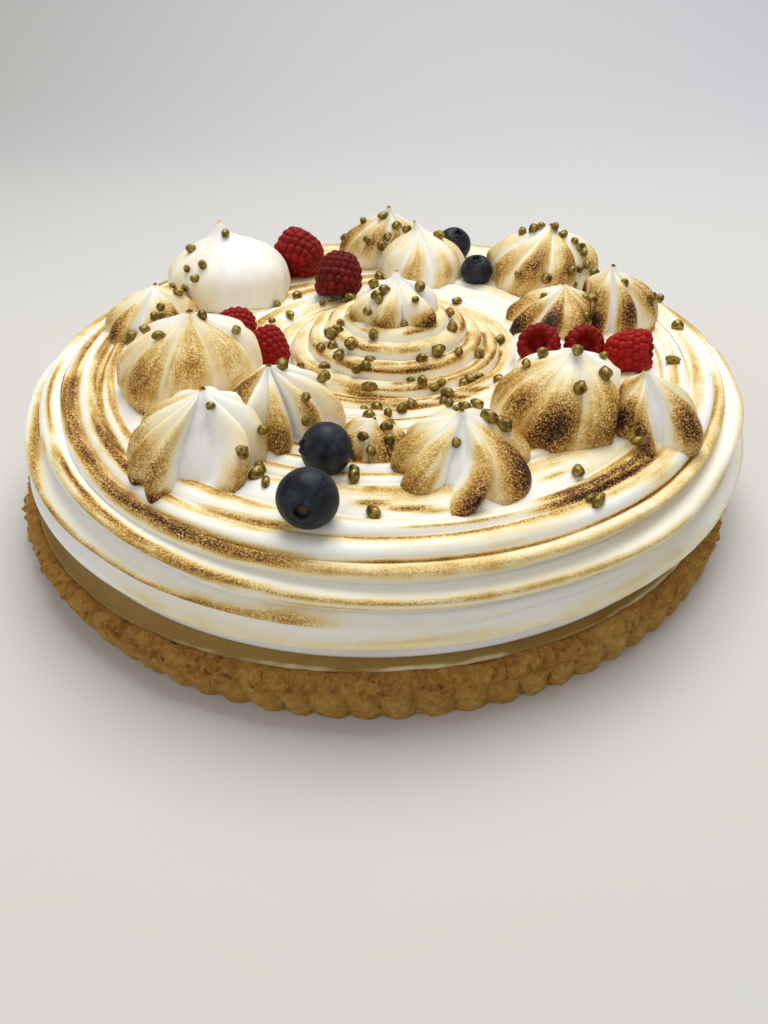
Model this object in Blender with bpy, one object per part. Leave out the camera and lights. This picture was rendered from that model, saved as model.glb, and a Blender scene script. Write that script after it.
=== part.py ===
"""Lemon meringue pie: a fluted tart crust filled with lemon curd, under a torched meringue swirl.

The model is in metres with +Z up. The origin is on the middle of the crust's flat underside, and -Y is the
front, the side with the two large blueberries. Lengths below are in millimetres and are turned to metres by MM.
"""
import math
import random
from collections import namedtuple

import bmesh
import bpy
from mathutils import Matrix, Vector, noise
from mathutils.bvhtree import BVHTree

MM = 0.001
CLEARANCE = 0.35            # between pieces that lie on each other
WELD = 0.002                # points closer than this are one

# Crust: a shortcrust shell pressed into a fluted tin
FOOT_RADIUS = 121.8
SCALLOP_RADIUS = 125.2
SCALLOP_TOP = 13.5
RIM_RADIUS = 123.6
RIM_HEIGHT = 18.8
RIM_ROUGHNESS = 0.7
RIM_UNLEVEL = 1.4           # how much more the rim goes up and down than in and out
CHIPS_AROUND = 9.0          # how closely the chips follow each other round the rim
RIM_FLUTING = 0.15          # how much of the scallops is left at the rim
FLUTES = 84
FLUTE_DEPTH = 2.4
POINTS_PER_FLUTE = 3
CRUST_WALL = 4.6
CRUST_FLOOR = 4.0
CAVITY_SEGMENTS = 56

# Lemon curd: set filling, level with the rim and a little crowned
CURD_TOP = 20.2
CURD_EDGE_TOP = 18.9
CURD_EDGE_WIDTH = 3.4
CURD_SEGMENTS = 72

# Meringue base: a disc spread in a spiral, with a low cone in the middle
DISC_CENTRE = (3.0, 1.0)
CONE_CENTRE = (7.0, -4.0)
CONE_REACH = 42.0
OUTLINE = (                 # radius and height, from the lower edge over the shoulder to the cone's top
    (117.0, CURD_TOP + CLEARANCE),
    (119.2, 28.0),
    (118.4, 39.0),
    (113.8, 47.0),
    (103.0, 50.6),
    (86.0, 51.4),
    (62.0, 50.8),
    (40.0, 50.6),
    (31.0, 54.0),
    (22.0, 60.0),
    (13.0, 63.6),
    (0.0, 65.0),
)
SIDE_PITCH = 9.8
CONE_PITCH = 8.6
SIDE_RIDGE = 1.9
TOP_RIDGE = 1.2
SHOULDER = (90.0, 110.0)    # the radii between which the ridges grow from the top's to the side's
RIDGE_UNEVEN = 0.35
RIDGE_WAVES = 1.7           # how often a ridge swells and shrinks on its way round
BASE_COLUMNS = 42
ROWS_PER_RIDGE = 2
SPARSE_RADIUS = 30.0        # within it every second column is left out

# Piped kisses: place, radius, height over the base, ribs, rib depth, twist, lean and stretch
Kiss = namedtuple("Kiss", "x y radius height ribs depth twist lean_x lean_y stretch turn")
KISSES = {
    "kiss_back_left_large": Kiss(-55.5, 51, 23.5, 27, 9, 0.05, 25, -2, 1, 1.02, 0),
    "kiss_left_back_flat": Kiss(-80.5, 19, 16.0, 15, 8, 0.13, 10, 3, 2, 1.08, 80),
    "kiss_left_golden": Kiss(-56.8, -27, 22.0, 25, 7, 0.10, 20, 2, -1, 1.05, 20),
    "kiss_front_left": Kiss(-47.8, -69.5, 17.6, 20, 9, 0.16, 15, 4.5, 1, 1.08, 90),
    "kiss_centre_left": Kiss(-26, -51, 16.2, 19, 7, 0.20, 10, -3, -2, 1.00, 0),
    "kiss_behind_berries": Kiss(0, -66, 9.5, 8, 5, 0.15, 0, 0, 0, 1.15, 90),
    "kiss_on_cone": Kiss(8, -5, 13.5, 13, 6, 0.16, 20, 1, 0, 1.10, 0),
    "kiss_back_centre": Kiss(4, 86, 17.0, 22, 9, 0.10, 20, 5, -2, 1.00, 0),
    "kiss_back_white": Kiss(22, 65.5, 16.8, 21, 9, 0.10, 30, -3, 2, 1.03, 0),
    "kiss_back_right_large": Kiss(67.5, 57, 21.0, 20, 9, 0.09, 20, 4.5, 2.5, 1.05, 0),
    "kiss_right_back": Kiss(66, 12, 16.0, 14, 9, 0.14, 15, 3, 3, 1.05, 0),
    "kiss_right": Kiss(87.5, 11.5, 15.0, 19, 8, 0.12, 15, -3.5, 3, 1.00, 0),
    "kiss_right_front_large": Kiss(54.5, -54, 19.4, 22, 8, 0.10, 15, 3, 1, 1.04, 0),
    "kiss_right_pleated": Kiss(79.8, -60.5, 12.6, 18, 7, 0.18, 10, -4.3, 2, 1.05, 70),
    "kiss_front_centre": Kiss(23, -77.5, 16.6, 17, 7, 0.24, 20, 0.7, 1, 1.10, 90),
}
KISS_ROWS = 6
KISS_UNDERSIDE = 0.3        # share of the rows that make the flat underside
KISS_BELLY = 0.3            # share of a half wave that the foot has already turned in from the widest part
KISS_UNEVEN = 0.16
KISS_DENTS = 0.8            # how often a kiss goes in and out on its way round
RIBS_FADE = 0.4             # how much of the ribs' depth is gone at the tip
REACH_OF_NEIGHBOURS = 1.3   # kisses nearer than this share of their radii press on each other
KISS_SINK = 4.0
BERRY_ROOM = 1.08           # the room left for a berry, of its reach
TOUCH_GAP = 0.45            # half of the gap between two kisses that press on each other

# Berries: place, radius, length and the way the stalk end faces
Raspberry = namedtuple("Raspberry", "x y radius length facing tilt")
RASPBERRIES = {
    "raspberry_back_large": Raspberry(-28.5, 68.5, 9.8, 18.0, 150, 15),
    "raspberry_back_dark": Raspberry(-12, 44.5, 9.0, 17.5, 250, -60),
    "raspberry_left_back": Raspberry(-46.5, 2.5, 6.7, 13.5, 100, 30),
    "raspberry_left_front": Raspberry(-33.6, -13.6, 6.7, 13.5, 130, 35),
    "raspberry_right_hollow": Raspberry(55.5, -16.5, 6.9, 12.8, 240, 35),
    "raspberry_right_middle": Raspberry(69.6, -15.5, 6.2, 12.4, 268, 30),
    "raspberry_right_bright": Raspberry(82.2, -23, 7.2, 15.0, 335, 12),
}
RASPBERRY_COLUMNS = 10
RASPBERRY_ROWS = 7
RASPBERRY_SINK = 2.6
RASPBERRY_FULLNESS = 0.85   # below 1 the ends are blunter than a ball's
RASPBERRY_TAPER = 0.22      # how much narrower the tip is than the stalk end
RASPBERRY_WIDEST = 0.64     # share of the length, from the tip, where it is as wide as its radius says
RASPBERRY_HOLLOW = 0.28     # depth of the stalk's hollow, of the length
DRUPELET_BUMP = 0.07        # of the radius
Blueberry = namedtuple("Blueberry", "x y radius facing tilt")
BLUEBERRIES = {
    "blueberry_front_left": Blueberry(-12.0, -78.0, 7.2, 200, 20),
    "blueberry_front": Blueberry(-15.5, -100.5, 7.7, 262, 8),
    "blueberry_back": Blueberry(35.5, 79.5, 7.2, 300, 60),
    "blueberry_back_small": Blueberry(42.5, 54.0, 6.3, 250, 70),
}
BLUEBERRY_COLUMNS = 10
BLUEBERRY_ROWS = 7
BLUEBERRY_SINK = 0.8
BLUEBERRY_DIMPLE = 0.22     # depth of the flower end, of the radius
BLUEBERRY_FLATNESS = 0.93

# Crunchy gold nuggets: strewn in groups, each a centre, a spread and how many fall there
NUGGET_RADIUS = 1.95
NUGGET_SMALLEST = 0.85      # of the radius
NUGGET_LARGEST = 1.3
NUGGET_RISE = 0.4           # how far a lump's centre stands over the surface, as a share of its radius
NUGGET_MARGIN = 0.4
STEEPEST = 0.35             # the least upward share of a surface's normal that a nugget stays on
TRIES = 40
Group = namedtuple("Group", "x y spread count")
BASE_NUGGETS = (
    Group(7, -21, 6.2, 5),
    Group(-9, -10, 5, 4),
    Group(25, -14, 5, 4),
    Group(5, -34, 5.6, 3),
    Group(26, -40, 7.4, 5),
    Group(42, -14, 5, 2),
    Group(-2, 16, 5.6, 2),
    Group(-20, -86, 3.7, 2),
    Group(58, -90, 3.7, 2),
    Group(-34, 34, 5.6, 1),
    Group(44, 30, 5, 1),
    Group(96, -8, 3.7, 2),
)
KISS_NUGGETS = {
    "kiss_back_left_large": Group(-9, -12, 5, 4),
    "kiss_left_back_flat": Group(6, -6, 3.1, 2),
    "kiss_left_golden": Group(-14, -6, 3.7, 2),
    "kiss_front_left": Group(4, -6, 5, 3),
    "kiss_centre_left": Group(6, -4, 3.1, 2),
    "kiss_behind_berries": Group(1, -2, 2.5, 1),
    "kiss_on_cone": Group(-3, -3, 4.3, 3),
    "kiss_back_centre": Group(0, -3, 5.6, 3),
    "kiss_back_right_large": Group(0, -1, 6.8, 6),
    "kiss_right_back": Group(2, -6, 3.7, 2),
    "kiss_right": Group(4, -5, 3.1, 2),
    "kiss_right_front_large": Group(-3, -4, 5, 2),
    "kiss_front_centre": Group(-5, 5, 5, 4),
}
SEED = 41


def clear_scene():
    """Removes what the file starts with."""
    for scene_object in list(bpy.data.objects):
        bpy.data.objects.remove(scene_object, do_unlink=True)


def make_material(name, colour, roughness, metallic=0.0):
    """A Principled BSDF of one linear colour."""
    material = bpy.data.materials.new(name)
    material.use_nodes = True
    shader = material.node_tree.nodes["Principled BSDF"]
    shader.inputs["Base Color"].default_value = (*colour, 1.0)
    shader.inputs["Roughness"].default_value = roughness
    shader.inputs["Metallic"].default_value = metallic
    return material


def make_object(name, bm, material, collection):
    """Turns a bmesh in millimetres into a named object in metres, in triangles so that each cut meets flat faces."""
    bmesh.ops.remove_doubles(bm, verts=bm.verts, dist=WELD)
    bmesh.ops.recalc_face_normals(bm, faces=bm.faces)
    bmesh.ops.triangulate(bm, faces=bm.faces)
    bmesh.ops.scale(bm, vec=(MM, MM, MM), verts=bm.verts)
    mesh = bpy.data.meshes.new(name)
    bm.to_mesh(mesh)
    bm.free()
    made = bpy.data.objects.new(name, mesh)
    made.data.materials.append(material)
    collection.objects.link(made)
    return made


def smooth_step(low, high, value):
    """Rises smoothly from 0 at low to 1 at high."""
    share = min(1.0, max(0.0, (value - low) / (high - low)))
    return share * share * (3.0 - 2.0 * share)


def apply_boolean(target, operation, operand=None, collection=None, solver="EXACT"):
    """Cuts or joins the target with one object or with a whole collection, and keeps the result as its mesh."""
    modifier = target.modifiers.new(operation.title(), "BOOLEAN")
    modifier.operation = operation
    modifier.solver = solver
    if collection is None:
        modifier.object = operand
    else:
        modifier.operand_type = "COLLECTION"
        modifier.collection = collection
    depsgraph = bpy.context.evaluated_depsgraph_get()
    result = bpy.data.meshes.new_from_object(target.evaluated_get(depsgraph))
    target.modifiers.remove(modifier)
    target.data = result


def drop_scraps(target):
    """Keeps only the largest connected body of a mesh."""
    bm = bmesh.new()
    bm.from_mesh(target.data)
    left = set(bm.verts)
    bodies = []
    while left:
        body = {left.pop()}
        front = list(body)
        while front:
            vertex = front.pop()
            for edge in vertex.link_edges:
                other = edge.other_vert(vertex)
                if other in left:
                    left.discard(other)
                    body.add(other)
                    front.append(other)
        bodies.append(body)
    bodies.sort(key=len, reverse=True)
    for body in bodies[1:]:
        bmesh.ops.delete(bm, geom=list(body), context="VERTS")
    bmesh.ops.remove_doubles(bm, verts=bm.verts, dist=WELD * MM)
    bmesh.ops.dissolve_degenerate(bm, edges=bm.edges, dist=WELD * MM)
    bm.to_mesh(target.data)
    bm.free()


def surface_tree(target):
    """A search tree over a mesh object, for laying things on it."""
    bm = bmesh.new()
    bm.from_mesh(target.data)
    tree = BVHTree.FromBMesh(bm)
    bm.free()
    return tree


def surface_point(tree, x, y):
    """Where a vertical line at x, y in millimetres meets a surface from above, with the surface's normal."""
    place, normal, _, _ = tree.ray_cast(Vector((x * MM, y * MM, 1.0)), Vector((0, 0, -1)))
    if place is None:
        return None, None
    return place / MM, normal


def crust(material, collection):
    """The shell: scallops round the outside, a crumbly uneven rim and a round hollow for the filling."""
    segments = FLUTES * POINTS_PER_FLUTE
    levels = ((0.0, FOOT_RADIUS, 1.0), (SCALLOP_TOP, SCALLOP_RADIUS, 1.0), (RIM_HEIGHT, RIM_RADIUS, RIM_FLUTING))
    bm = bmesh.new()
    bmesh.ops.create_circle(bm, cap_ends=True, radius=1.0, segments=segments)
    bmesh.ops.recalc_face_normals(bm, faces=bm.faces)
    ring = list(bm.verts)
    for number, (height, radius, fluting) in enumerate(levels):
        if number:
            cap = [face for face in bm.faces if all(vertex in ring for vertex in face.verts)]
            grown = bmesh.ops.extrude_face_region(bm, geom=cap)
            ring = [item for item in grown["geom"] if isinstance(item, bmesh.types.BMVert)]
            if number > 1:
                bmesh.ops.delete(bm, geom=cap, context="FACES_ONLY")
        for vertex in ring:
            angle = math.atan2(vertex.co.y, vertex.co.x)
            phase = angle / math.tau * FLUTES
            valley = 1.0 if abs(phase - round(phase)) < 0.5 / POINTS_PER_FLUTE else 0.0
            around = Vector((math.cos(angle), math.sin(angle), 0.0))
            rough = noise.noise(around * CHIPS_AROUND + Vector((0, 0, height)))
            reach = radius - FLUTE_DEPTH * fluting * valley + RIM_ROUGHNESS * rough * (1.0 if number else 0.0)
            level = height + (RIM_ROUGHNESS * RIM_UNLEVEL * rough if number == len(levels) - 1 else 0.0)
            vertex.co = (reach * math.cos(angle), reach * math.sin(angle), level)
    shell = make_object("crust", bm, material, collection)
    cavity = bmesh.new()
    made = bmesh.ops.create_cone(
        cavity,
        cap_ends=True,
        segments=CAVITY_SEGMENTS,
        radius1=FOOT_RADIUS - CRUST_WALL,
        radius2=RIM_RADIUS - CRUST_WALL * 0.5,
        depth=RIM_HEIGHT * 2.0,
    )
    bmesh.ops.translate(cavity, vec=(0, 0, CRUST_FLOOR + RIM_HEIGHT), verts=made["verts"])
    cutter = make_object("crust_cavity", cavity, material, collection)
    apply_boolean(shell, "DIFFERENCE", cutter)
    bpy.data.objects.remove(cutter)
    return shell


def cavity_radius(height):
    """The crust's inner radius at a height, where the filling meets it."""
    low = FOOT_RADIUS - CRUST_WALL
    high = RIM_RADIUS - CRUST_WALL * 0.5
    return low + (high - low) * (height - CRUST_FLOOR) / (RIM_HEIGHT * 2.0)


def curd(material, collection):
    """The set lemon filling, a disc that fills the shell and shows round the meringue's foot."""
    flat = math.cos(math.pi / CAVITY_SEGMENTS)
    bottom = CRUST_FLOOR + CLEARANCE
    bm = bmesh.new()
    bmesh.ops.create_cone(
        bm,
        cap_ends=True,
        segments=CURD_SEGMENTS,
        radius1=cavity_radius(bottom) * flat - CLEARANCE,
        radius2=cavity_radius(CURD_EDGE_TOP) * flat - CLEARANCE,
        depth=CURD_EDGE_TOP - bottom,
    )
    bmesh.ops.translate(bm, vec=(0, 0, (CURD_EDGE_TOP + bottom) / 2.0), verts=bm.verts)
    bm.faces.ensure_lookup_table()
    top = max(bm.faces, key=lambda face: face.calc_center_median().z)
    bmesh.ops.inset_region(bm, faces=[top], thickness=CURD_EDGE_WIDTH, depth=0.0)
    bmesh.ops.translate(bm, vec=(0, 0, CURD_TOP - CURD_EDGE_TOP), verts=top.verts)
    return make_object("lemon_curd", bm, material, collection)


def outline_points(steps_each=12):
    """The meringue disc's smooth outline, as points with their distance along it."""
    knots = [Vector((radius, height)) for radius, height in OUTLINE]
    knots = [knots[0]] + knots + [Vector((-OUTLINE[-2][0], OUTLINE[-2][1]))]
    points = [(0.0, knots[1])]
    for before, start, end, after in zip(knots, knots[1:], knots[2:], knots[3:]):
        for step in range(1, steps_each + 1):
            t = step / steps_each
            bend = 2 * start + (end - before) * t + (2 * before - 5 * start + 4 * end - after) * t ** 2
            bend = (bend + (3 * start - before - 3 * end + after) * t ** 3) * 0.5
            points.append((points[-1][0] + (bend - points[-1][1]).length, bend))
    return points


def outline_at(points, distance):
    """The outline's radius, height and outward normal at a distance along it."""
    distance = min(max(distance, 0.0), points[-1][0])
    for (low, start), (high, end) in zip(points, points[1:]):
        if distance <= high:
            share = (distance - low) / (high - low)
            place = start.lerp(end, share)
            along = (end - start).normalized()
            return place, Vector((along.y, -along.x))
    return points[-1][1], Vector((0.0, 1.0))


def spiral_distance(row, turn, ridges):
    """How far along the outline a row of the spiral lies at a share of its turn; the ridges narrow inwards."""
    ridge = min(max(row / ROWS_PER_RIDGE - turn, 0.0), ridges)
    return SIDE_PITCH * ridge - (SIDE_PITCH - CONE_PITCH) * ridge * ridge / (2.0 * ridges)


def meringue_base(material, collection):
    """A grid wound into a spiral: each ridge runs one pitch outwards and down in each turn about the axis."""
    points = outline_points()
    length = points[-1][0]
    ridges = 2.0 * length / (SIDE_PITCH + CONE_PITCH)
    rows = (math.ceil(ridges) + 1) * ROWS_PER_RIDGE
    bm = bmesh.new()
    bmesh.ops.create_grid(bm, x_segments=BASE_COLUMNS, y_segments=rows, size=0.5)
    for vertex in bm.verts:
        turn = vertex.co.x + 0.5
        row = round((vertex.co.y + 0.5) * rows)
        column = round(turn * BASE_COLUMNS)
        if column % 2 and outline_at(points, spiral_distance(row, turn, ridges))[0].x < SPARSE_RADIUS:
            turn = (column - 1) / BASE_COLUMNS
        ridge = min(max(row / ROWS_PER_RIDGE - turn, 0.0), ridges)
        angle = (turn + 0.25) * math.tau
        place, outward = outline_at(points, spiral_distance(row, turn, ridges))
        crest = 1.0 if row % ROWS_PER_RIDGE else -1.0
        relief = TOP_RIDGE + (SIDE_RIDGE - TOP_RIDGE) * smooth_step(*SHOULDER, place.x)
        relief *= smooth_step(0.0, 0.5, ridge) * smooth_step(0.0, 1.5, ridges - ridge)
        round_axis = Vector((math.cos(angle), math.sin(angle), 0.0))
        relief *= 1.0 + RIDGE_UNEVEN * noise.noise(round_axis * RIDGE_WAVES + Vector((0, 0, ridge)))
        place = place + outward * (crest * relief)
        shift = smooth_step(CONE_REACH * 1.6, CONE_REACH * 0.6, place.x)
        centre_x = DISC_CENTRE[0] + (CONE_CENTRE[0] - DISC_CENTRE[0]) * shift
        centre_y = DISC_CENTRE[1] + (CONE_CENTRE[1] - DISC_CENTRE[1]) * shift
        vertex.co = (centre_x + place.x * round_axis.x, centre_y + place.x * round_axis.y, place.y)
    bmesh.ops.remove_doubles(bm, verts=bm.verts, dist=0.01)
    bmesh.ops.dissolve_degenerate(bm, edges=bm.edges, dist=0.001)
    bmesh.ops.holes_fill(bm, edges=[edge for edge in bm.edges if edge.is_boundary])
    return make_object("meringue_base", bm, material, collection)


def neighbour_planes(name):
    """Upright planes that a kiss flattens against where it presses on another kiss or on a berry."""
    kiss = KISSES[name]
    planes = []
    for other, near in KISSES.items():
        apart = Vector((near.x - kiss.x, near.y - kiss.y, 0.0))
        if other != name and apart.length < (kiss.radius + near.radius) * REACH_OF_NEIGHBOURS:
            share = kiss.radius / (kiss.radius + near.radius)
            planes.append((apart.normalized(), apart.length * share - TOUCH_GAP))
    berries = list(RASPBERRIES.values()) + list(BLUEBERRIES.values())
    for berry in berries:
        apart = Vector((berry.x - kiss.x, berry.y - kiss.y, 0.0))
        reach = getattr(berry, "length", 2.0 * berry.radius) / 2.0
        if apart.length < kiss.radius * REACH_OF_NEIGHBOURS + reach:
            planes.append((apart.normalized(), apart.length - reach * BERRY_ROOM - TOUCH_GAP))
    return planes


def kiss_outline(share):
    """A kiss's radius and height, both from 0 to 1, from the middle of its underside round to its tip."""
    if share < KISS_UNDERSIDE:
        return math.sin(math.pi * KISS_BELLY) * share / KISS_UNDERSIDE, 0.0
    rise = (share - KISS_UNDERSIDE) / (1.0 - KISS_UNDERSIDE)
    return math.sin(math.pi * (KISS_BELLY + (1.0 - KISS_BELLY) * rise)), rise


def meringue_kiss(name, kiss, base_tree, base_cutter, material, collection):
    """A star-piped kiss: ribs that twist up to a peak, seated on the swirl below it."""
    ground, _ = surface_point(base_tree, kiss.x, kiss.y)
    planes = neighbour_planes(name)
    full_height = kiss.height + KISS_SINK
    bm = bmesh.new()
    bmesh.ops.create_uvsphere(bm, u_segments=2 * kiss.ribs, v_segments=KISS_ROWS, radius=1.0)
    for vertex in bm.verts:
        share = math.acos(max(-1.0, min(1.0, -vertex.co.z))) / math.pi
        angle = math.atan2(vertex.co.y, vertex.co.x)
        column = round(angle / math.tau * 2 * kiss.ribs)
        reach, rise = kiss_outline(share)
        crest = 1.0 if column % 2 else -1.0
        around = Vector((math.cos(angle), math.sin(angle), 0.0))
        uneven = noise.noise(around * KISS_DENTS + Vector((kiss.x, kiss.y, 0)))
        ribs = kiss.depth * (1.0 - RIBS_FADE * rise) * crest
        reach *= kiss.radius * (1.0 + ribs + KISS_UNEVEN * uneven)
        angle += math.radians(kiss.twist) * rise
        along = math.radians(kiss.turn)
        offset = Vector((reach * math.cos(angle - along) * kiss.stretch, reach * math.sin(angle - along)))
        offset.rotate(Matrix.Rotation(along, 2))
        place = Vector((offset.x + kiss.lean_x * rise, offset.y + kiss.lean_y * rise, 0.0))
        for outward, limit in planes:
            beyond = place.dot(outward) - limit
            if beyond > 0.0:
                place -= outward * beyond
        vertex.co = (kiss.x + place.x, kiss.y + place.y, ground.z - KISS_SINK + full_height * rise)
    made = make_object(name, bm, material, collection)
    apply_boolean(made, "DIFFERENCE", base_cutter)
    drop_scraps(made)
    return made


def strew(groups, centre, tree, others, draw):
    """Draws places for nuggets on a surface, and leaves out those that would touch each other or another piece."""
    placed = []
    for group in groups:
        for _ in range(group.count):
            for _ in range(TRIES):
                x = centre[0] + draw.gauss(group.x, group.spread)
                y = centre[1] + draw.gauss(group.y, group.spread)
                size = NUGGET_RADIUS * draw.uniform(NUGGET_SMALLEST, NUGGET_LARGEST)
                spot, normal = surface_point(tree, x, y)
                if spot is None or normal.z < STEEPEST:
                    continue
                middle = spot + normal * (size * NUGGET_RISE)
                near = min(other.find_nearest(middle * MM)[3] / MM for other in others)
                if near < size * NUGGET_LARGEST + NUGGET_MARGIN:
                    continue
                if any((middle - other).length < size + radius + NUGGET_MARGIN for other, radius in placed):
                    continue
                placed.append((middle, size))
                break
    return placed


def fuse_nuggets(target, places, material, draw):
    """Joins small uneven lumps to the piece that they lie on."""
    heap = bpy.data.collections.new(target.name + "_nuggets")
    bpy.context.scene.collection.children.link(heap)
    for spot, size in places:
        bm = bmesh.new()
        bmesh.ops.create_icosphere(bm, subdivisions=1, radius=size)
        stretch = Vector((draw.uniform(0.85, 1.2), draw.uniform(0.8, 1.05), draw.uniform(0.75, 1.0)))
        bmesh.ops.scale(bm, vec=stretch, verts=bm.verts)
        bmesh.ops.translate(bm, vec=spot, verts=bm.verts)
        make_object(target.name + "_nugget", bm, material, heap)
    if heap.objects:
        apply_boolean(target, "UNION", collection=heap, solver="MANIFOLD")
    for lump in list(heap.objects):
        bpy.data.objects.remove(lump)
    bpy.data.collections.remove(heap)
    drop_scraps(target)


def facing(direction, tilt):
    """The unit vector at a compass angle and a tilt over the level, both in degrees."""
    around = math.radians(direction)
    up = math.radians(tilt)
    return Vector((math.cos(around) * math.cos(up), math.sin(around) * math.cos(up), math.sin(up)))


def raspberry(name, berry, base_tree, base_cutter, material, collection):
    """A raspberry: rows of drupelets round a cone with a hollow at its stalk end."""
    bm = bmesh.new()
    bmesh.ops.create_uvsphere(bm, u_segments=RASPBERRY_COLUMNS, v_segments=RASPBERRY_ROWS, radius=1.0)
    for vertex in bm.verts:
        share = math.acos(max(-1.0, min(1.0, -vertex.co.z))) / math.pi
        angle = math.atan2(vertex.co.y, vertex.co.x)
        row = round(share * RASPBERRY_ROWS)
        column = round(angle / math.tau * RASPBERRY_COLUMNS)
        bump = 1.0 + DRUPELET_BUMP * (1.0 if (row + column) % 2 else -1.0)
        taper = 1.0 + RASPBERRY_TAPER * (share - RASPBERRY_WIDEST)
        reach = berry.radius * math.sin(share * math.pi) ** RASPBERRY_FULLNESS * taper * bump
        height = -berry.length / 2.0 * math.cos(share * math.pi)
        if row == RASPBERRY_ROWS:
            height -= berry.length * RASPBERRY_HOLLOW
        vertex.co = (reach * math.cos(angle), reach * math.sin(angle), height)
    axis = facing(berry.facing, berry.tilt)
    bmesh.ops.rotate(bm, matrix=Vector((0, 0, 1)).rotation_difference(axis).to_matrix(), verts=bm.verts)
    ground, _ = surface_point(base_tree, berry.x, berry.y)
    lowest = min(vertex.co.z for vertex in bm.verts)
    bmesh.ops.translate(bm, vec=(berry.x, berry.y, ground.z - lowest - RASPBERRY_SINK), verts=bm.verts)
    made = make_object(name, bm, material, collection)
    apply_boolean(made, "DIFFERENCE", base_cutter)
    drop_scraps(made)
    return made


def blueberry(name, berry, base_tree, base_cutter, material, collection):
    """A blueberry: a slightly flattened ball with a crown round a dimple at its flower end."""
    bm = bmesh.new()
    bmesh.ops.create_uvsphere(bm, u_segments=BLUEBERRY_COLUMNS, v_segments=BLUEBERRY_ROWS, radius=berry.radius)
    for vertex in bm.verts:
        share = math.acos(max(-1.0, min(1.0, vertex.co.z / berry.radius))) / math.pi
        if share < 0.5 / BLUEBERRY_ROWS:
            vertex.co.z -= berry.radius * BLUEBERRY_DIMPLE
        vertex.co.z *= BLUEBERRY_FLATNESS
    axis = facing(berry.facing, berry.tilt)
    bmesh.ops.rotate(bm, matrix=Vector((0, 0, 1)).rotation_difference(axis).to_matrix(), verts=bm.verts)
    ground, _ = surface_point(base_tree, berry.x, berry.y)
    lowest = min(vertex.co.z for vertex in bm.verts)
    bmesh.ops.translate(bm, vec=(berry.x, berry.y, ground.z - lowest - BLUEBERRY_SINK), verts=bm.verts)
    made = make_object(name, bm, material, collection)
    apply_boolean(made, "DIFFERENCE", base_cutter)
    drop_scraps(made)
    return made


def build_pie():
    """Makes every piece, from the crust up."""
    clear_scene()
    pie = bpy.data.collections.new("lemon_meringue_pie")
    bpy.context.scene.collection.children.link(pie)
    pastry = make_material("baked_shortcrust", (0.42, 0.22, 0.08), 0.85)
    lemon = make_material("lemon_curd", (0.62, 0.47, 0.16), 0.3)
    meringue = make_material("torched_meringue", (0.86, 0.78, 0.66), 0.55)
    red_fruit = make_material("raspberry_skin", (0.36, 0.01, 0.02), 0.4)
    blue_fruit = make_material("blueberry_skin", (0.02, 0.03, 0.07), 0.5)
    draw = random.Random(SEED)

    crust(pastry, pie)
    curd(lemon, pie)
    base = meringue_base(meringue, pie)
    base_tree = surface_tree(base)
    base_cutter = base.copy()
    base_cutter.data = base.data.copy()
    base_cutter.data.transform(Matrix.Translation((0, 0, CLEARANCE * MM)))
    pie.objects.link(base_cutter)

    seated = {}
    for name, kiss in KISSES.items():
        seated[name] = meringue_kiss(name, kiss, base_tree, base_cutter, meringue, pie)
    for name, berry in RASPBERRIES.items():
        seated[name] = raspberry(name, berry, base_tree, base_cutter, red_fruit, pie)
    for name, berry in BLUEBERRIES.items():
        seated[name] = blueberry(name, berry, base_tree, base_cutter, blue_fruit, pie)
    bpy.data.objects.remove(base_cutter)

    for name, group in KISS_NUGGETS.items():
        kiss = KISSES[name]
        others = [base_tree] + [surface_tree(piece) for other, piece in seated.items() if other != name]
        places = strew((group,), (kiss.x, kiss.y), surface_tree(seated[name]), others, draw)
        fuse_nuggets(seated[name], places, meringue, draw)
    others = [surface_tree(piece) for piece in seated.values()]
    fuse_nuggets(base, strew(BASE_NUGGETS, (0, 0), base_tree, others, draw), meringue, draw)


build_pie()
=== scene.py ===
# %% [markdown]
# # A torched lemon meringue pie
#
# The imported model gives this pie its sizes: a fluted shortcrust shell, a disc of lemon curd, a meringue
# swirl with piped kisses on it, and berries between them. This lesson lays the fine shapes and the baked,
# torched and glossy finishes over it. Each step says what the piece is on a real pie, and why it is
# made this way here.

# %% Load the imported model
import bisect
import math
import random
from collections import namedtuple

import bmesh
import bpy
from mathutils import Matrix, Vector, noise
from mathutils.bvhtree import BVHTree


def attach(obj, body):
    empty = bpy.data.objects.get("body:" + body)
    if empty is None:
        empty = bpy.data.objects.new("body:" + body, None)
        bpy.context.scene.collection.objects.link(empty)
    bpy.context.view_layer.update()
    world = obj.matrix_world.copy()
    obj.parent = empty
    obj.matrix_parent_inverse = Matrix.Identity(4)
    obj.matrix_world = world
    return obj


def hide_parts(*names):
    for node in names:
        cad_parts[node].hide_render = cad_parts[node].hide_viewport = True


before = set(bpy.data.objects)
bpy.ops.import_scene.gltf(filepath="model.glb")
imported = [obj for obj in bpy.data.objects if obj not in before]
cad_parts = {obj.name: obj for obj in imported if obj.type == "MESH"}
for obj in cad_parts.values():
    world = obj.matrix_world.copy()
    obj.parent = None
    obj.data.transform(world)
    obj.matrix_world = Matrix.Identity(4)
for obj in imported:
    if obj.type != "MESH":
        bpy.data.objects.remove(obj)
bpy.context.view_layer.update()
MM = 0.001

# %% [markdown]
# ## Small helpers
#
# Colours are written as sRGB hex, as a colour picker shows them. Blender's sockets take linear values, so
# one function turns them. Another adds a node: an input that is given a socket is linked, and any other
# value is set on the input.

# %% Colours and nodes
def linear(hex_colour):
    """An sRGB hex colour as the linear colour that Blender's sockets take."""
    parts = [int(hex_colour[place:place + 2], 16) / 255.0 for place in (1, 3, 5)]
    return tuple(part / 12.92 if part <= 0.04045 else ((part + 0.055) / 1.055) ** 2.4 for part in parts) + (1.0,)


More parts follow.
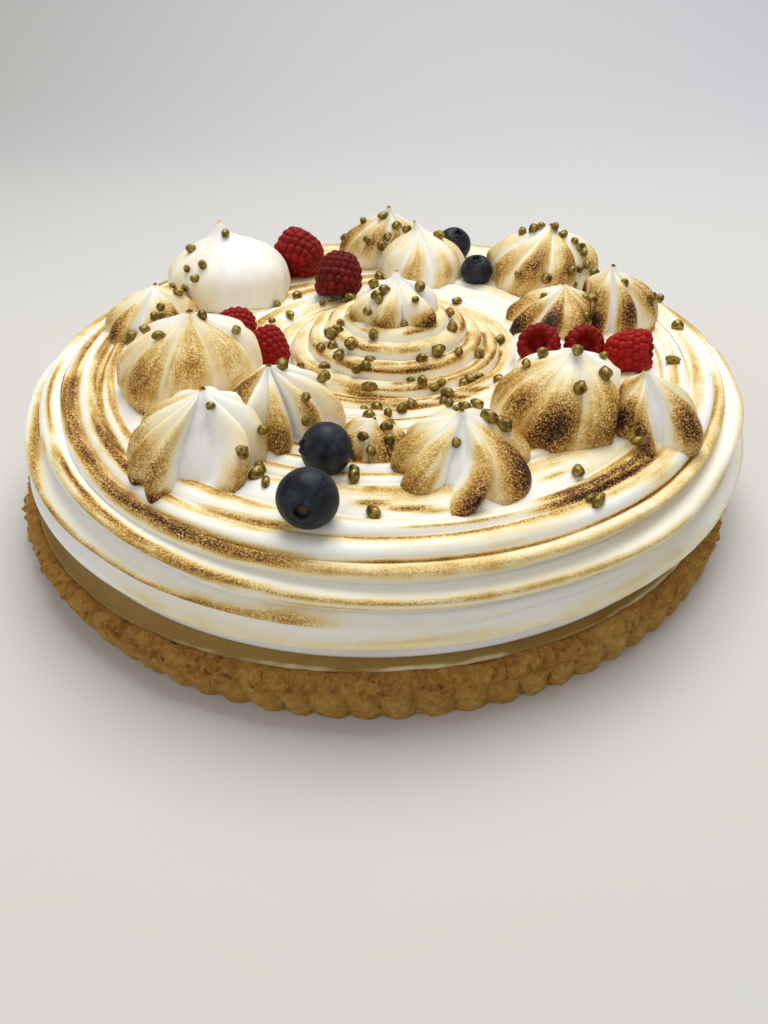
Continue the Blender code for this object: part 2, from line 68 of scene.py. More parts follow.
def add_node(material, kind, inputs=(), stops=(), **settings):
    """Adds a node with its settings, its input values and links, and the stops of its colour ramp."""
    tree = material.node_tree
    node = tree.nodes.new(kind)
    for name, value in settings.items():
        setattr(node, name, value)
    for name, value in dict(inputs).items():
        if isinstance(value, bpy.types.NodeSocket):
            tree.links.new(value, node.inputs[name])
        else:
            node.inputs[name].default_value = value
    for number, (position, colour) in enumerate(stops):
        stop = node.color_ramp.elements[number] if number < 2 else node.color_ramp.elements.new(position)
        stop.position = position
        stop.color = linear(colour)
    return node


def start_material(name):
    """A new material, with its Principled shader."""
    material = bpy.data.materials.new(name)
    material.use_nodes = True
    return material, material.node_tree.nodes["Principled BSDF"]


print("meringue white in linear light:", [round(value, 3) for value in linear("#FBF8F0")])

# %% [markdown]
# Food has no sharp mathematical outline, so most shapes here are read from smooth curves through a few given
# knots, with slow noise to make them uneven. These helpers read such curves.

# %% Curves and noise
def smooth_step(low, high, value):
    """Rises smoothly from 0 at low to 1 at high; with low above high it falls."""
    share = min(1.0, max(0.0, (value - low) / (high - low)))
    return share * share * (3.0 - 2.0 * share)


def mix(start, end, share):
    """A value between two others."""
    return start + (end - start) * share


def knot_value(knots, place):
    """Reads a table of (place, value) knots with straight lines between them."""
    if place <= knots[0][0]:
        return knots[0][1]
    for (low, start), (high, end) in zip(knots, knots[1:]):
        if place <= high:
            return mix(start, end, (place - low) / (high - low))
    return knots[-1][1]


def wave(*parts):
    """Smooth noise, about -1 to 1, at one, two or three numbers."""
    return noise.noise(Vector((tuple(parts) + (0.37, 0.71))[:3]))


class SmoothCurve:
    """A curve of radius and height through knots, which can be read at any distance along it."""

    def __init__(self, knots, steps=16):
        knots = [Vector(knot) for knot in knots]
        knots = [knots[0]] + knots + [knots[-1]]
        self.points = [knots[1]]
        for before, start, end, after in zip(knots, knots[1:], knots[2:], knots[3:]):
            for step in range(1, steps + 1):
                t = step / steps
                bend = 2 * start + (end - before) * t + (2 * before - 5 * start + 4 * end - after) * t ** 2
                self.points.append((bend + (3 * start - before - 3 * end + after) * t ** 3) * 0.5)
        self.distances = [0.0]
        for start, end in zip(self.points, self.points[1:]):
            self.distances.append(self.distances[-1] + (end - start).length)
        self.length = self.distances[-1]

    def at(self, distance):
        """The point at a distance, and the curve's normal on its right-hand side."""
        distance = min(max(distance, 0.0), self.length)
        upper = min(max(bisect.bisect_left(self.distances, distance), 1), len(self.points) - 1)
        low, high = self.distances[upper - 1], self.distances[upper]
        start, end = self.points[upper - 1], self.points[upper]
        along = (end - start).normalized()
        return start.lerp(end, (distance - low) / (high - low)), Vector((along.y, -along.x))


# %% Finishing a piece
def finish_piece(name, bm, material, replaced=()):
    """Turns a bmesh in millimetres into a smooth piece in metres that stands for CAD nodes."""
    bmesh.ops.remove_doubles(bm, verts=bm.verts, dist=0.002)
    bmesh.ops.dissolve_degenerate(bm, edges=bm.edges, dist=0.0005)
    bmesh.ops.recalc_face_normals(bm, faces=bm.faces)
    bmesh.ops.scale(bm, vec=(MM, MM, MM), verts=bm.verts)
    for face in bm.faces:
        face.smooth = True
    mesh = bpy.data.meshes.new(name)
    bm.to_mesh(mesh)
    bm.free()
    mesh.materials.append(material)
    piece = bpy.data.objects.new(name, mesh)
    bpy.context.scene.collection.objects.link(piece)
    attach(piece, "root")
    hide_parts(*replaced)
    print(name, len(mesh.polygons), "faces")
    return piece


def surface_tree(*pieces):
    """A search tree over the faces of some pieces, for laying things on them."""
    bm = bmesh.new()
    for piece in pieces:
        bm.from_mesh(piece.data)
    tree = BVHTree.FromBMesh(bm)
    bm.free()
    return tree


def drop_on(tree, x, y):
    """Where a thing dropped at x, y in millimetres lands, with the surface's normal there."""
    place, normal, _, _ = tree.ray_cast(Vector((x * MM, y * MM, 1.0)), Vector((0, 0, -1)))
    return place / MM, normal


# %% [markdown]
# ## Shortcrust
#
# The shell is butter pastry pressed into a fluted tin, so its side is a row of round scallops, and the
# rim over them was cut level and is dry, sandy and crumbly. Baked pastry is pale gold where the tin held it
# and nut brown on the bare rim. The finish is a colour ramp over the height and some noise, with two sizes
# of crumb in the bump.

# %% The shortcrust finish
def shortcrust_finish():
    """Baked shortcrust: rough and matt, with sandy crumbs that catch the light."""
    material, shader = start_material("baked_shortcrust")
    place = add_node(material, "ShaderNodeTexCoord").outputs["Object"]
    height = add_node(material, "ShaderNodeSeparateXYZ", {"Vector": place}).outputs["Z"]
    # patches a centimetre across, crumbs of 2 mm with cracks between them, and sand of 0.5 mm; the cracks are also
    # painted darker, as painted shade
    patches = add_node(material, "ShaderNodeTexNoise", {"Vector": place, "Scale": 110.0, "Detail": 3.0})
    crumbs = add_node(material, "ShaderNodeTexNoise", {"Vector": place, "Scale": 480.0, "Detail": 6.0,
                                                       "Roughness": 0.72})
    sand = add_node(material, "ShaderNodeTexNoise", {"Vector": place, "Scale": 2000.0, "Detail": 2.0})
    browning = add_node(material, "ShaderNodeMapRange", {"Value": height, "From Min": 0.002, "From Max": 0.017,
                                                         "To Min": 0.16, "To Max": 0.5})
    uneven = add_node(material, "ShaderNodeMath", {0: patches.outputs["Fac"], 1: 1.0, 2: -0.5},
                      operation="MULTIPLY_ADD")
    baked = add_node(material, "ShaderNodeMath", {0: browning.outputs["Result"], 1: uneven.outputs["Value"]},
                     operation="ADD")
    specks = add_node(material, "ShaderNodeMath", {0: crumbs.outputs["Fac"], 1: 1.5, 2: -0.75},
                      operation="MULTIPLY_ADD")
    grit = add_node(material, "ShaderNodeTexVoronoi", {"Vector": place, "Scale": 520.0, "Randomness": 1.0})
    # painted shade: the colour darkens towards the cell edges, which the bump below sinks into cracks
    crack_shade = add_node(material, "ShaderNodeMapRange", {"Value": grit.outputs["Distance"], "From Min": 0.5,
                                                       "From Max": 0.85, "To Min": 0.0, "To Max": 0.16})
    cracked = add_node(material, "ShaderNodeMath", {0: specks.outputs["Value"], 1: crack_shade.outputs["Result"]},
                       operation="ADD")
    tone = add_node(material, "ShaderNodeMath", {0: baked.outputs["Value"], 1: cracked.outputs["Value"]},
                    operation="ADD")
    colour = add_node(material, "ShaderNodeValToRGB", {"Fac": tone.outputs["Value"]}, stops=(
        (0.0, "#EBC066"), (1.0, "#76421A"), (0.25, "#DEA850"), (0.5, "#D79A45"), (0.75, "#BF7E36")))
    grain = add_node(material, "ShaderNodeBump", {"Height": sand.outputs["Fac"], "Strength": 0.5,
                                                  "Distance": 0.0003})
    lumps = add_node(material, "ShaderNodeBump", {"Height": crumbs.outputs["Fac"], "Strength": 1.0,
                                                  "Distance": 0.0034, "Normal": grain.outputs["Normal"]})
    gaps = add_node(material, "ShaderNodeBump", {"Height": grit.outputs["Distance"], "Strength": 0.6,
                                                 "Distance": 0.0009, "Normal": lumps.outputs["Normal"]})
    gaps.invert = True
    links = material.node_tree.links
    links.new(colour.outputs["Color"], shader.inputs["Base Color"])
    links.new(gaps.outputs["Normal"], shader.inputs["Normal"])
    shader.inputs["Roughness"].default_value = 0.78
    shader.inputs["Specular IOR Level"].default_value = 0.3
    shader.inputs["Subsurface Weight"].default_value = 0.08
    shader.inputs["Subsurface Scale"].default_value = 0.002
    return material


shortcrust = shortcrust_finish()

# %% [markdown]
# The shell starts as one circle of points. Extruding its edges upwards, over the rim and down again inside
# makes the wall, and then each ring is pushed in and out: a scallop is the rounded side of a wave, and noise
# chips the rim.

# %% The shortcrust shell
FLUTES = 84
POINTS_PER_FLUTE = 10
SHELL_WALL = (               # radius and height of the wall's section, from the foot over the rim to the floor
    (115.0, 0.0), (118.8, 0.0), (120.4, 0.6), (121.5, 2.2), (122.6, 4.6), (123.5, 7.2), (124.2, 9.8),
    (124.5, 11.4), (124.2, 12.2), (124.0, 12.9), (124.3, 13.8), (124.4, 14.8), (124.1, 16.0), (123.4, 17.2),
    (122.4, 17.8), (121.2, 18.1), (120.2, 17.7), (119.6, 16.4), (119.0, 14.0), (117.6, 6.0), (116.0, 4.0))
SCALLOP_DEPTH = 2.7
CHIP = 1.25                  # how far the rim's crumbs stand out
FOOT_SHIFT = (1.7, -1.7)     # the wall leans, so the foot stands a little to the front right
RIM_HIGHEST = 265.0          # the direction in which the rim stands highest
RIM_DIP = 1.5                # how much lower it is elsewhere


def rim_drop(angle):
    """How much lower than at its highest the rim is in a direction given in radians."""
    aside = abs((math.degrees(angle) - RIM_HIGHEST + 180.0) % 360.0 - 180.0)
    return RIM_DIP * smooth_step(10.0, 42.0, aside)


def shell_piece():
    bm = bmesh.new()
    bmesh.ops.create_circle(bm, segments=FLUTES * POINTS_PER_FLUTE, radius=1.0)
    ring = list(bm.verts)
    edges = list(bm.edges)
    for level, (radius, height) in enumerate(SHELL_WALL):
        if level:
            grown = bmesh.ops.extrude_edge_only(bm, edges=edges)["geom"]
            ring = [item for item in grown if isinstance(item, bmesh.types.BMVert)]
            edges = [item for item in grown if isinstance(item, bmesh.types.BMEdge)
                     and all(vertex in set(ring) for vertex in item.verts)]
        outside = 0 < level < 17
        fluting = smooth_step(14.2, 11.4, height) if outside else 0.0
        crumbly = smooth_step(10.5, 14.0, height) if level < 18 else 0.0
        for vertex in ring:
            angle = math.atan2(vertex.co.y, vertex.co.x)
            phase = angle / math.tau * FLUTES + 0.16 * wave(math.cos(angle) * 9, math.sin(angle) * 9)
            lobe = abs(math.sin(math.pi * phase)) ** 0.55
            near = Vector((math.cos(angle) * 124.0, math.sin(angle) * 124.0, height))
            chips = noise.noise(near * 0.16) * 0.9 + noise.noise(near * 0.5) + 0.8 * noise.noise(near * 1.3)
            reach = radius - SCALLOP_DEPTH * fluting * (1.0 - lobe)
            reach += CHIP * chips * (0.25 + 0.75 * crumbly) * (1.0 if outside else 0.5)
            lift = CHIP * crumbly * (0.9 * noise.noise(near * 0.11 + Vector((7, 3, 1))) + 0.5 * chips)
            lift -= rim_drop(angle) * smooth_step(8.0, 16.0, height)
            lean = smooth_step(13.0, 0.0, height) if outside else 0.0
            vertex.co = (reach * math.cos(angle) + FOOT_SHIFT[0] * lean,
                         reach * math.sin(angle) + FOOT_SHIFT[1] * lean, max(height + lift, 0.0))
    for rim in (edges, [edge for edge in bm.edges if edge.is_boundary and edge not in set(edges)]):
        bmesh.ops.holes_fill(bm, edges=rim)
    return finish_piece("shortcrust_shell", bm, shortcrust, ["crust"])


shell = shell_piece()

# %% [markdown]
# ## Lemon curd
#
# Curd is eggs, butter and lemon juice set to a gel: dull khaki yellow inside a meringue pie, smooth and
# wet, with a thin pale lip where it climbed the pastry. The lip's pale colour, strongest at the front right, is
# partly a thin film and partly a painted highlight of the wet gloss. Light goes a few millimetres into it, so it
# has subsurface scattering under a sharp gloss.

# %% The lemon curd finish
def curd_finish():
    """Set lemon curd: a translucent gel with a wet gloss."""
    material, shader = start_material("set_lemon_curd")
    place = add_node(material, "ShaderNodeTexCoord").outputs["Object"]
    clouds = add_node(material, "ShaderNodeTexNoise", {"Vector": place, "Scale": 90.0, "Detail": 3.0})
    lip = add_node(material, "ShaderNodeAttribute", attribute_name="lip")
    tone = add_node(material, "ShaderNodeMath", {0: clouds.outputs["Fac"], 1: 0.35, 2: 0.1},
                    operation="MULTIPLY_ADD")
    # the lip attribute paints the rim paler: partly a thin film, partly a painted highlight of the wet gloss
    paler_lip_and_highlight = add_node(material, "ShaderNodeMath", {0: tone.outputs["Value"], 1: lip.outputs["Fac"]},
                     operation="ADD")
    colour = add_node(material, "ShaderNodeValToRGB", {"Fac": paler_lip_and_highlight.outputs["Value"]}, stops=(
        (0.0, "#8C6E31"), (1.0, "#DCCDA4"), (0.4, "#A38242")))
    dimples = add_node(material, "ShaderNodeTexNoise", {"Vector": place, "Scale": 160.0, "Detail": 2.0})
    bump = add_node(material, "ShaderNodeBump", {"Height": dimples.outputs["Fac"], "Strength": 0.35,
                                                 "Distance": 0.0008})
    links = material.node_tree.links
    links.new(colour.outputs["Color"], shader.inputs["Base Color"])
    links.new(bump.outputs["Normal"], shader.inputs["Normal"])
    shader.inputs["Roughness"].default_value = 0.2
    shader.inputs["IOR"].default_value = 1.42
    shader.inputs["Subsurface Weight"].default_value = 0.35
    shader.inputs["Subsurface Radius"].default_value = (1.0, 0.8, 0.3)
    shader.inputs["Subsurface Scale"].default_value = 0.003
    return material


curd_gloss = curd_finish()

# %% [markdown]
# A disc like this is turned: half of its section is drawn as a row of points, and spinning the row about
# the middle makes the whole. The lip goes up against the crust as a liquid does before it sets.

# %% The curd disc
CURD_SECTION = (
    (0.0, 4.35), (60.0, 4.35), (112.0, 4.35), (117.0, 4.5), (118.0, 8.0), (119.6, 16.0), (120.2, 17.4),
    (119.9, 17.9), (119.3, 17.8), (118.6, 17.75), (117.4, 18.1), (115.6, 18.9), (113.6, 19.8),
    (110.0, 20.2), (60.0, 20.2), (0.0, 20.2))
CURD_STEPS = 240


def curd_piece():
    bm = bmesh.new()
    lip = bm.verts.layers.float.new("lip")
    points = [bm.verts.new((radius, 0.0, height)) for radius, height in CURD_SECTION]
    section = points + [bm.edges.new(pair) for pair in zip(points, points[1:])]
    bmesh.ops.spin(bm, geom=section, cent=(0, 0, 0), axis=(0, 0, 1), angle=math.tau, steps=CURD_STEPS,
                   use_merge=True)
    for vertex in bm.verts:
        radius = math.hypot(vertex.co.x, vertex.co.y)
        if radius > 113.0 and vertex.co.z > 15.9:
            rise = 0.35 * noise.noise(vertex.co * 0.09) + 0.2 * noise.noise(vertex.co * 0.35)
            rise -= rim_drop(math.atan2(vertex.co.y, vertex.co.x))
            vertex.co.z += rise * smooth_step(113.0, 117.5, radius)
            # the pale lip is patchy and strongest at the front right, partly a thin film and partly a painted highlight
            # there
            patchy_film_and_highlight = 0.3 + 0.9 * noise.noise(vertex.co * 0.05) + 0.6 * noise.noise(vertex.co * 0.4)
            around = math.degrees(math.atan2(vertex.co.y, vertex.co.x)) % 360.0
            patchy_film_and_highlight *= 0.25 + smooth_step(240.0, 264.0, around) * smooth_step(345.0, 322.0, around)
            vertex[lip] = smooth_step(118.4, 119.7, radius) * max(patchy_film_and_highlight, 0.0)
    return finish_piece("curd_filling", bm, curd_gloss, ["lemon_curd"])


curd = curd_piece()

# %% [markdown]
# ## Torched meringue
#
# Meringue is egg white whipped with sugar syrup: a fine, soft, satin white foam. A torch then browns the
# ridges that stand nearest to the flame, from cream through gold and amber to specks of black, and leaves the
# hollows white. So the colour depends on the shape. Every meringue piece here carries an attribute called
# toast, worked out while its shape is made, and one finish turns it into colour. A second attribute,
# flow, runs along the ridges, and gives the fine lines that the palette knife or the nozzle left.

# %% The torched meringue finish
def meringue_finish():
    """Whipped egg white and sugar: satin, a little see-through, sugar grain where it is torched."""
    material, shader = start_material("torched_meringue")
    place = add_node(material, "ShaderNodeTexCoord").outputs["Object"]
    toast = add_node(material, "ShaderNodeAttribute", attribute_name="toast").outputs["Fac"]
    flow = add_node(material, "ShaderNodeAttribute", attribute_name="flow").outputs["Vector"]
    streaks = add_node(material, "ShaderNodeTexNoise", {"Vector": flow, "Scale": 1.0, "Detail": 3.0,
                                                        "Roughness": 0.6})
    # burnt sugar bubbles are about 0.4 mm; 0.6 mm shows in the render
    bubbles = add_node(material, "ShaderNodeTexNoise", {"Vector": place, "Scale": 1900.0, "Detail": 1.0,
                                                        "Roughness": 0.6})
    clouds = add_node(material, "ShaderNodeTexNoise", {"Vector": place, "Scale": 160.0, "Detail": 3.0})
    speckled = add_node(material, "ShaderNodeMapRange", {"Value": toast, "From Min": 0.2, "From Max": 0.7,
                                                         "To Min": 0.05, "To Max": 1.0})
    grain = add_node(material, "ShaderNodeMath", {0: bubbles.outputs["Fac"], 1: 0.5}, operation="SUBTRACT")
    grains = add_node(material, "ShaderNodeMath", {0: grain.outputs["Value"], 1: speckled.outputs["Result"]},
                      operation="MULTIPLY")
    grained = add_node(material, "ShaderNodeMath", {0: grains.outputs["Value"], 1: 1.6, 2: toast},
                       operation="MULTIPLY_ADD")
    some = add_node(material, "ShaderNodeMapRange", {"Value": toast, "From Min": 0.02, "From Max": 0.3,
                                                     "To Min": 0.0, "To Max": 1.0})
    lines = add_node(material, "ShaderNodeMath", {0: streaks.outputs["Fac"], 1: 0.5}, operation="SUBTRACT")
    blown = add_node(material, "ShaderNodeMath", {0: clouds.outputs["Fac"], 1: 0.5}, operation="SUBTRACT")
    drift = add_node(material, "ShaderNodeMath", {0: lines.outputs["Value"], 1: blown.outputs["Value"]},
                     operation="ADD")
    drifted = add_node(material, "ShaderNodeMath", {0: drift.outputs["Value"], 1: some.outputs["Result"]},
                       operation="MULTIPLY")
    tone = add_node(material, "ShaderNodeMath", {0: drifted.outputs["Value"], 1: 0.35,
                                                 2: grained.outputs["Value"]}, operation="MULTIPLY_ADD")
    colour = add_node(material, "ShaderNodeValToRGB", {"Fac": tone.outputs["Value"]}, stops=(
        (0.0, "#FBFAF6"), (1.0, "#120904"), (0.1, "#FAF4E2"), (0.23, "#F0DCA6"), (0.37, "#D3AC5C"),
        (0.51, "#AE8036"), (0.66, "#7C4F1F"), (0.82, "#3F220E")))
    foam = add_node(material, "ShaderNodeBump", {"Height": streaks.outputs["Fac"], "Strength": 0.35,
                                                 "Distance": 0.0005})
    blister = add_node(material, "ShaderNodeBump", {"Height": grains.outputs["Value"], "Strength": 0.6,
                                                    "Distance": 0.0004, "Normal": foam.outputs["Normal"]})
    gloss = add_node(material, "ShaderNodeMapRange", {"Value": toast, "From Min": 0.1, "From Max": 0.8,
                                                      "To Min": 0.42, "To Max": 0.62})
    links = material.node_tree.links
    links.new(colour.outputs["Color"], shader.inputs["Base Color"])
    links.new(gloss.outputs["Result"], shader.inputs["Roughness"])
    links.new(blister.outputs["Normal"], shader.inputs["Normal"])
    shader.inputs["IOR"].default_value = 1.4
    shader.inputs["Specular IOR Level"].default_value = 0.4
    shader.inputs["Subsurface Weight"].default_value = 0.25
    shader.inputs["Subsurface Radius"].default_value = (1.0, 0.85, 0.65)
    shader.inputs["Subsurface Scale"].default_value = 0.003
    return material


torched_meringue = meringue_finish()

# %% [markdown]
# ### The swirl
#
# The base was spread on a turntable: one long groove winds outwards from the little cone in the middle, over
# the flat top and down the side, like the groove of a record. A hand and a palette knife don't turn evenly, so
# on the real pie the grooves down the side wander, join and split. Each crease there is drawn as a line of
# places: the direction it is seen in, in degrees counter-clockwise with the front at 270, and how far along the
# outline it lies, in millimetres from the lower edge. A crease ends at 450 degrees where the one below it
# starts at 90, so that all of them make one spiral. On the top the spiral goes on with an even pitch.

# %% The swirl's outline and creases
DISC_CENTRE = (3.0, 1.0)
CONE_CENTRE = (7.0, -4.0)
CONE_REACH = 42.0
SWIRL_OUTLINE = SmoothCurve((
    (117.7, 18.9), (119.7, 26.8), (118.7, 38.4), (113.8, 47.0), (103.0, 50.6), (86.0, 51.4), (62.0, 50.8),
    (40.0, 50.6), (31.0, 54.0), (22.0, 60.0), (13.0, 63.6), (0.0, 65.0)))
CREASES = (
    ((90, 0.0), (450, 0.0)),
    ((90, 16.0), (150, 14.8), (200, 13.6), (230, 12.8), (250, 11.7), (270, 11.6), (280, 12.3), (286, 13.6),
     (290, 14.2), (295, 13.1), (300, 13.4), (305, 13.4), (309, 12.6), (315, 13.2), (320, 14.0), (330, 16.0),
     (342, 17.0), (370, 14.0), (400, 8.0), (430, 2.0), (444, 0.0), (450, 0.0)),
    ((90, 28.7), (150, 28.0), (200, 26.8), (210, 25.0), (220, 22.6), (230, 20.6), (240, 18.9), (250, 17.0),
     (260, 15.7), (270, 14.9), (280, 14.2), (290, 14.7), (295, 13.6), (302, 13.9), (309, 13.1), (320, 14.5),
     (330, 16.6), (342, 18.0), (370, 18.0), (410, 16.8), (450, 16.0)),
    ((90, 35.0), (150, 36.2), (200, 37.0), (206, 36.4), (212, 35.0), (220, 32.6), (230, 30.2), (240, 28.3),
     (250, 26.6), (260, 25.0), (270, 24.0), (280, 23.6), (290, 23.4), (300, 23.7), (310, 24.3), (320, 25.6),
     (330, 27.6), (342, 29.2), (370, 29.4), (410, 29.0), (450, 28.7)),
    ((90, 42.0), (150, 43.0), (200, 42.6), (210, 41.0), (220, 38.9), (230, 36.6), (240, 34.0), (250, 32.0),
     (260, 31.0), (270, 30.5), (280, 30.1), (290, 29.8), (300, 30.1), (310, 30.0), (320, 31.2), (330, 32.3),
     (342, 33.2), (370, 34.0), (410, 34.6), (450, 35.0)),
    ((90, 49.5), (150, 51.5), (200, 49.8), (210, 48.2), (220, 45.8), (230, 42.6), (240, 40.4), (250, 38.8),
     (260, 38.0), (280, 37.7), (290, 37.5), (300, 37.8), (310, 38.4), (320, 39.4), (342, 41.6), (370, 42.6),
     (410, 42.2), (450, 42.0)),
    ((90, 55.0), (150, 56.0), (200, 55.0), (230, 50.0), (250, 47.0), (260, 45.6), (270, 43.8), (280, 42.9),
     (290, 42.7), (300, 43.6), (320, 46.0), (342, 49.0), (370, 50.5), (410, 50.0), (450, 49.5)),
)
TOP_PITCHES = ((55, 5.4), (70, 6.0), (100, 7.0), (147, 7.2))
CREASE_SOFTENING = (-4, -2, 0, 2, 4)

top_creases = [CREASES[-1][0][1]]
while top_creases[-1] < SWIRL_OUTLINE.length:
    top_creases.append(top_creases[-1] + knot_value(TOP_PITCHES, top_creases[-1]))
CREASE_COUNT = len(CREASES) + len(top_creases)


def drawn_crease(index, direction):
    """How far along the outline a crease is drawn; past its ends it goes on as its neighbour."""
    if direction < 90.0:
        index, direction = index + 1, direction + 360.0
    elif direction > 450.0:
        index, direction = index - 1, direction - 360.0
    if index < len(CREASES):
        return knot_value(CREASES[index], direction) if index > 0 else 0.0
    place = index - len(CREASES) + 1 - (direction - 90.0) / 360.0
    low = min(int(place), len(top_creases) - 2)
    return min(mix(top_creases[low], top_creases[low + 1], place - low), SWIRL_OUTLINE.length)


def crease_distance(index, direction):
    """How far along the outline a crease lies in a direction from 90 to 450 degrees, its corners rounded."""
    near = [drawn_crease(index, direction + aside) for aside in CREASE_SOFTENING]
    return sum(near) / len(near)


print("the outline is", round(SWIRL_OUTLINE.length, 1), "mm long and holds", CREASE_COUNT, "creases")

# %% [markdown]
# Where the torch stayed longer, it left dark strokes along the ridges. They are drawn as the creases are, as
# lines of direction and distance, each with a width in millimetres and a heat, from 0 for white to 1 for black.
# Behind the pie, where nobody looks first, the ridges are toasted evenly along their crests.

# %% Where the torch went on the swirl
Stroke = namedtuple("Stroke", "path width heat")
TORCH_STROKES = (
    # the shoulder: a dark band on the left that thins out to gold, under a thin scorched edge
    Stroke(((184, 42.0), (200, 40.8), (210, 39.4), (220, 37.0), (230, 34.2), (240, 32.2), (250, 30.5),
            (266, 29.0)), 2.1, 0.84),
    Stroke(((186, 39.5), (205, 38.4), (220, 36.0), (232, 32.6), (246, 29.6)), 1.3, 0.72),
    Stroke(((236, 31.2), (262, 28.4), (280, 27.6), (300, 26.9), (310, 27.3), (320, 28.6), (332, 30.3),
            (352, 32.0)), 2.3, 0.37),
    Stroke(((180, 37.0), (205, 38.0), (212, 37.2), (222, 35.5)), 0.45, 0.86),
    Stroke(((258, 31.0), (270, 30.6), (280, 30.2), (290, 29.9), (300, 30.2), (310, 30.1), (320, 31.3),
            (332, 32.4), (352, 33.2)), 0.5, 0.56),
    Stroke(((290, 29.9), (300, 30.2), (318, 31.0)), 0.4, 0.84),
    # the ridge under it, with its double crest
    Stroke(((178, 34.6), (200, 33.6), (208, 33.0), (216, 32.3)), 0.9, 0.6),
    Stroke(((206, 33.0), (214, 31.9), (222, 30.1), (230, 28.3), (240, 26.0), (250, 24.0), (262, 22.4)), 0.65, 0.9),
    Stroke(((206, 33.0), (222, 30.0), (240, 25.6), (250, 23.6), (260, 22.1), (270, 21.3), (285, 20.8),
            (300, 20.5), (312, 20.6), (322, 21.6), (332, 23.8), (350, 26.0), (372, 26.0)), 0.95, 0.42),
    Stroke(((208, 31.4), (222, 28.4), (230, 26.6), (240, 24.2), (250, 22.0), (258, 20.4)), 0.9, 0.52),
    Stroke(((250, 21.4), (260, 19.7), (270, 18.7), (285, 18.3), (300, 17.8), (312, 17.5), (322, 18.0),
            (332, 20.2), (350, 22.0), (372, 22.0)), 1.0, 0.4),
    Stroke(((200, 32.4), (206, 31.0), (212, 28.6), (218, 26.0), (226, 23.2)), 0.6, 0.44),
    # the third ridge, which runs out at the front
    Stroke(((176, 27.0), (200, 26.0), (208, 23.2), (215, 20.6), (222, 18.7), (230, 17.4), (240, 16.2),
            (250, 15.3), (268, 14.3)), 1.15, 0.6),
    Stroke(((214, 20.4), (222, 18.4), (230, 17.0), (240, 15.9), (250, 15.1)), 0.6, 0.62),
    # the lowest ridge is almost white
    Stroke(((228, 9.6), (250, 8.6), (265, 8.5), (280, 9.2), (290, 10.0), (312, 10.2), (330, 9.6)), 1.5, 0.25),
    Stroke(((284, 8.4), (300, 7.4), (320, 7.6), (336, 10.0), (352, 12.0)), 1.0, 0.22),
    Stroke(((318, 14.6), (334, 16.4), (350, 17.4), (372, 15.0)), 0.9, 0.3),
    Stroke(((180, 8.0), (200, 6.0), (208, 2.0)), 2.4, 0.36),
    Stroke(((328, 15.0), (342, 10.0), (352, 4.0)), 1.2, 0.22),
    # the flat top
    Stroke(((172, 52.0), (190, 50.9), (200, 49.6), (210, 47.6), (218, 45.8), (230, 42.4)), 1.2, 0.66),
    Stroke(((214, 46.4), (222, 44.6), (229, 42.2)), 0.8, 0.78),
    Stroke(((238, 39.6), (250, 39.2), (264, 38.6)), 1.6, 0.6),
    Stroke(((242, 36.8), (252, 36.6), (262, 36.6)), 1.0, 0.4),
    Stroke(((256, 37.8), (270, 36.9), (280, 36.5), (290, 36.5), (304, 36.9)), 0.75, 0.68),
    Stroke(((266, 40.2), (278, 39.4), (294, 38.8)), 0.5, 0.55),
    Stroke(((266, 33.6), (284, 33.0), (300, 33.2)), 1.2, 0.26),
    Stroke(((278, 31.8), (286, 31.6), (292, 31.8)), 0.8, 0.5),
    Stroke(((286, 38.8), (296, 38.8), (308, 38.5), (322, 38.2)), 1.3, 0.98),
    Stroke(((287, 41.4), (300, 40.9), (306, 40.9), (321, 40.2)), 1.2, 0.94),
    Stroke(((302, 34.4), (309, 33.2), (320, 33.8)), 1.3, 0.5),
    Stroke(((258, 51.8), (268, 48.2), (275, 45.5), (286, 44.2)), 0.8, 0.72),
    Stroke(((258, 58.6), (268, 54.8), (278, 52.6)), 0.5, 0.7),
    Stroke(((260, 47.2), (264, 45.0), (270, 41.8)), 0.8, 0.6),
    Stroke(((292, 51.6), (306, 50.8)), 0.6, 0.72),
    Stroke(((290, 47.8), (307, 46.8)), 0.6, 0.9),
    Stroke(((334, 40.8), (350, 42.4), (362, 44.4), (385, 46.0)), 0.6, 0.46),
    Stroke(((330, 48.8), (345, 50.8), (366, 53.0)), 0.7, 0.42),
    Stroke(((350, 63.0), (368, 56.0), (385, 51.0)), 1.5, 0.5),
    # round the cone
    Stroke(((222, 104.6), (245, 103.6), (262, 102.8), (280, 101.6), (296, 100.0)), 0.7, 0.66),
    Stroke(((240, 109.6), (262, 108.2), (280, 106.6), (295, 104.4), (306, 101.6), (324, 97.0)), 0.9, 0.7),
    Stroke(((236, 105.8), (262, 104.8), (285, 103.6), (300, 101.0), (322, 95.4)), 0.45, 0.86),
    Stroke(((262, 99.4), (280, 98.2), (300, 96.6)), 1.0, 0.5),
    Stroke(((262, 113.4), (290, 112.6), (320, 112.0), (350, 112.6), (378, 113.0)), 0.85, 0.74),
    Stroke(((236, 120.6), (276, 120.0), (300, 119.6), (330, 119.6), (366, 120.6)), 0.7, 0.66),
    Stroke(((300, 106.4), (330, 105.6), (360, 106.6)), 0.8, 0.74),
)
CREST = 0.66                 # a ridge on the side stands out most at this share of its height
BACK_HEAT = 0.42             # along the crests behind
SIDE_HEAT = 0.24             # along the crests at the front right, which are only gold
TOP_HEAT = ((0, 0.17), (60, 0.15), (100, 0.26), (180, 0.4), (240, 0.4), (270, 0.37), (300, 0.33), (330, 0.26),
            (360, 0.17))


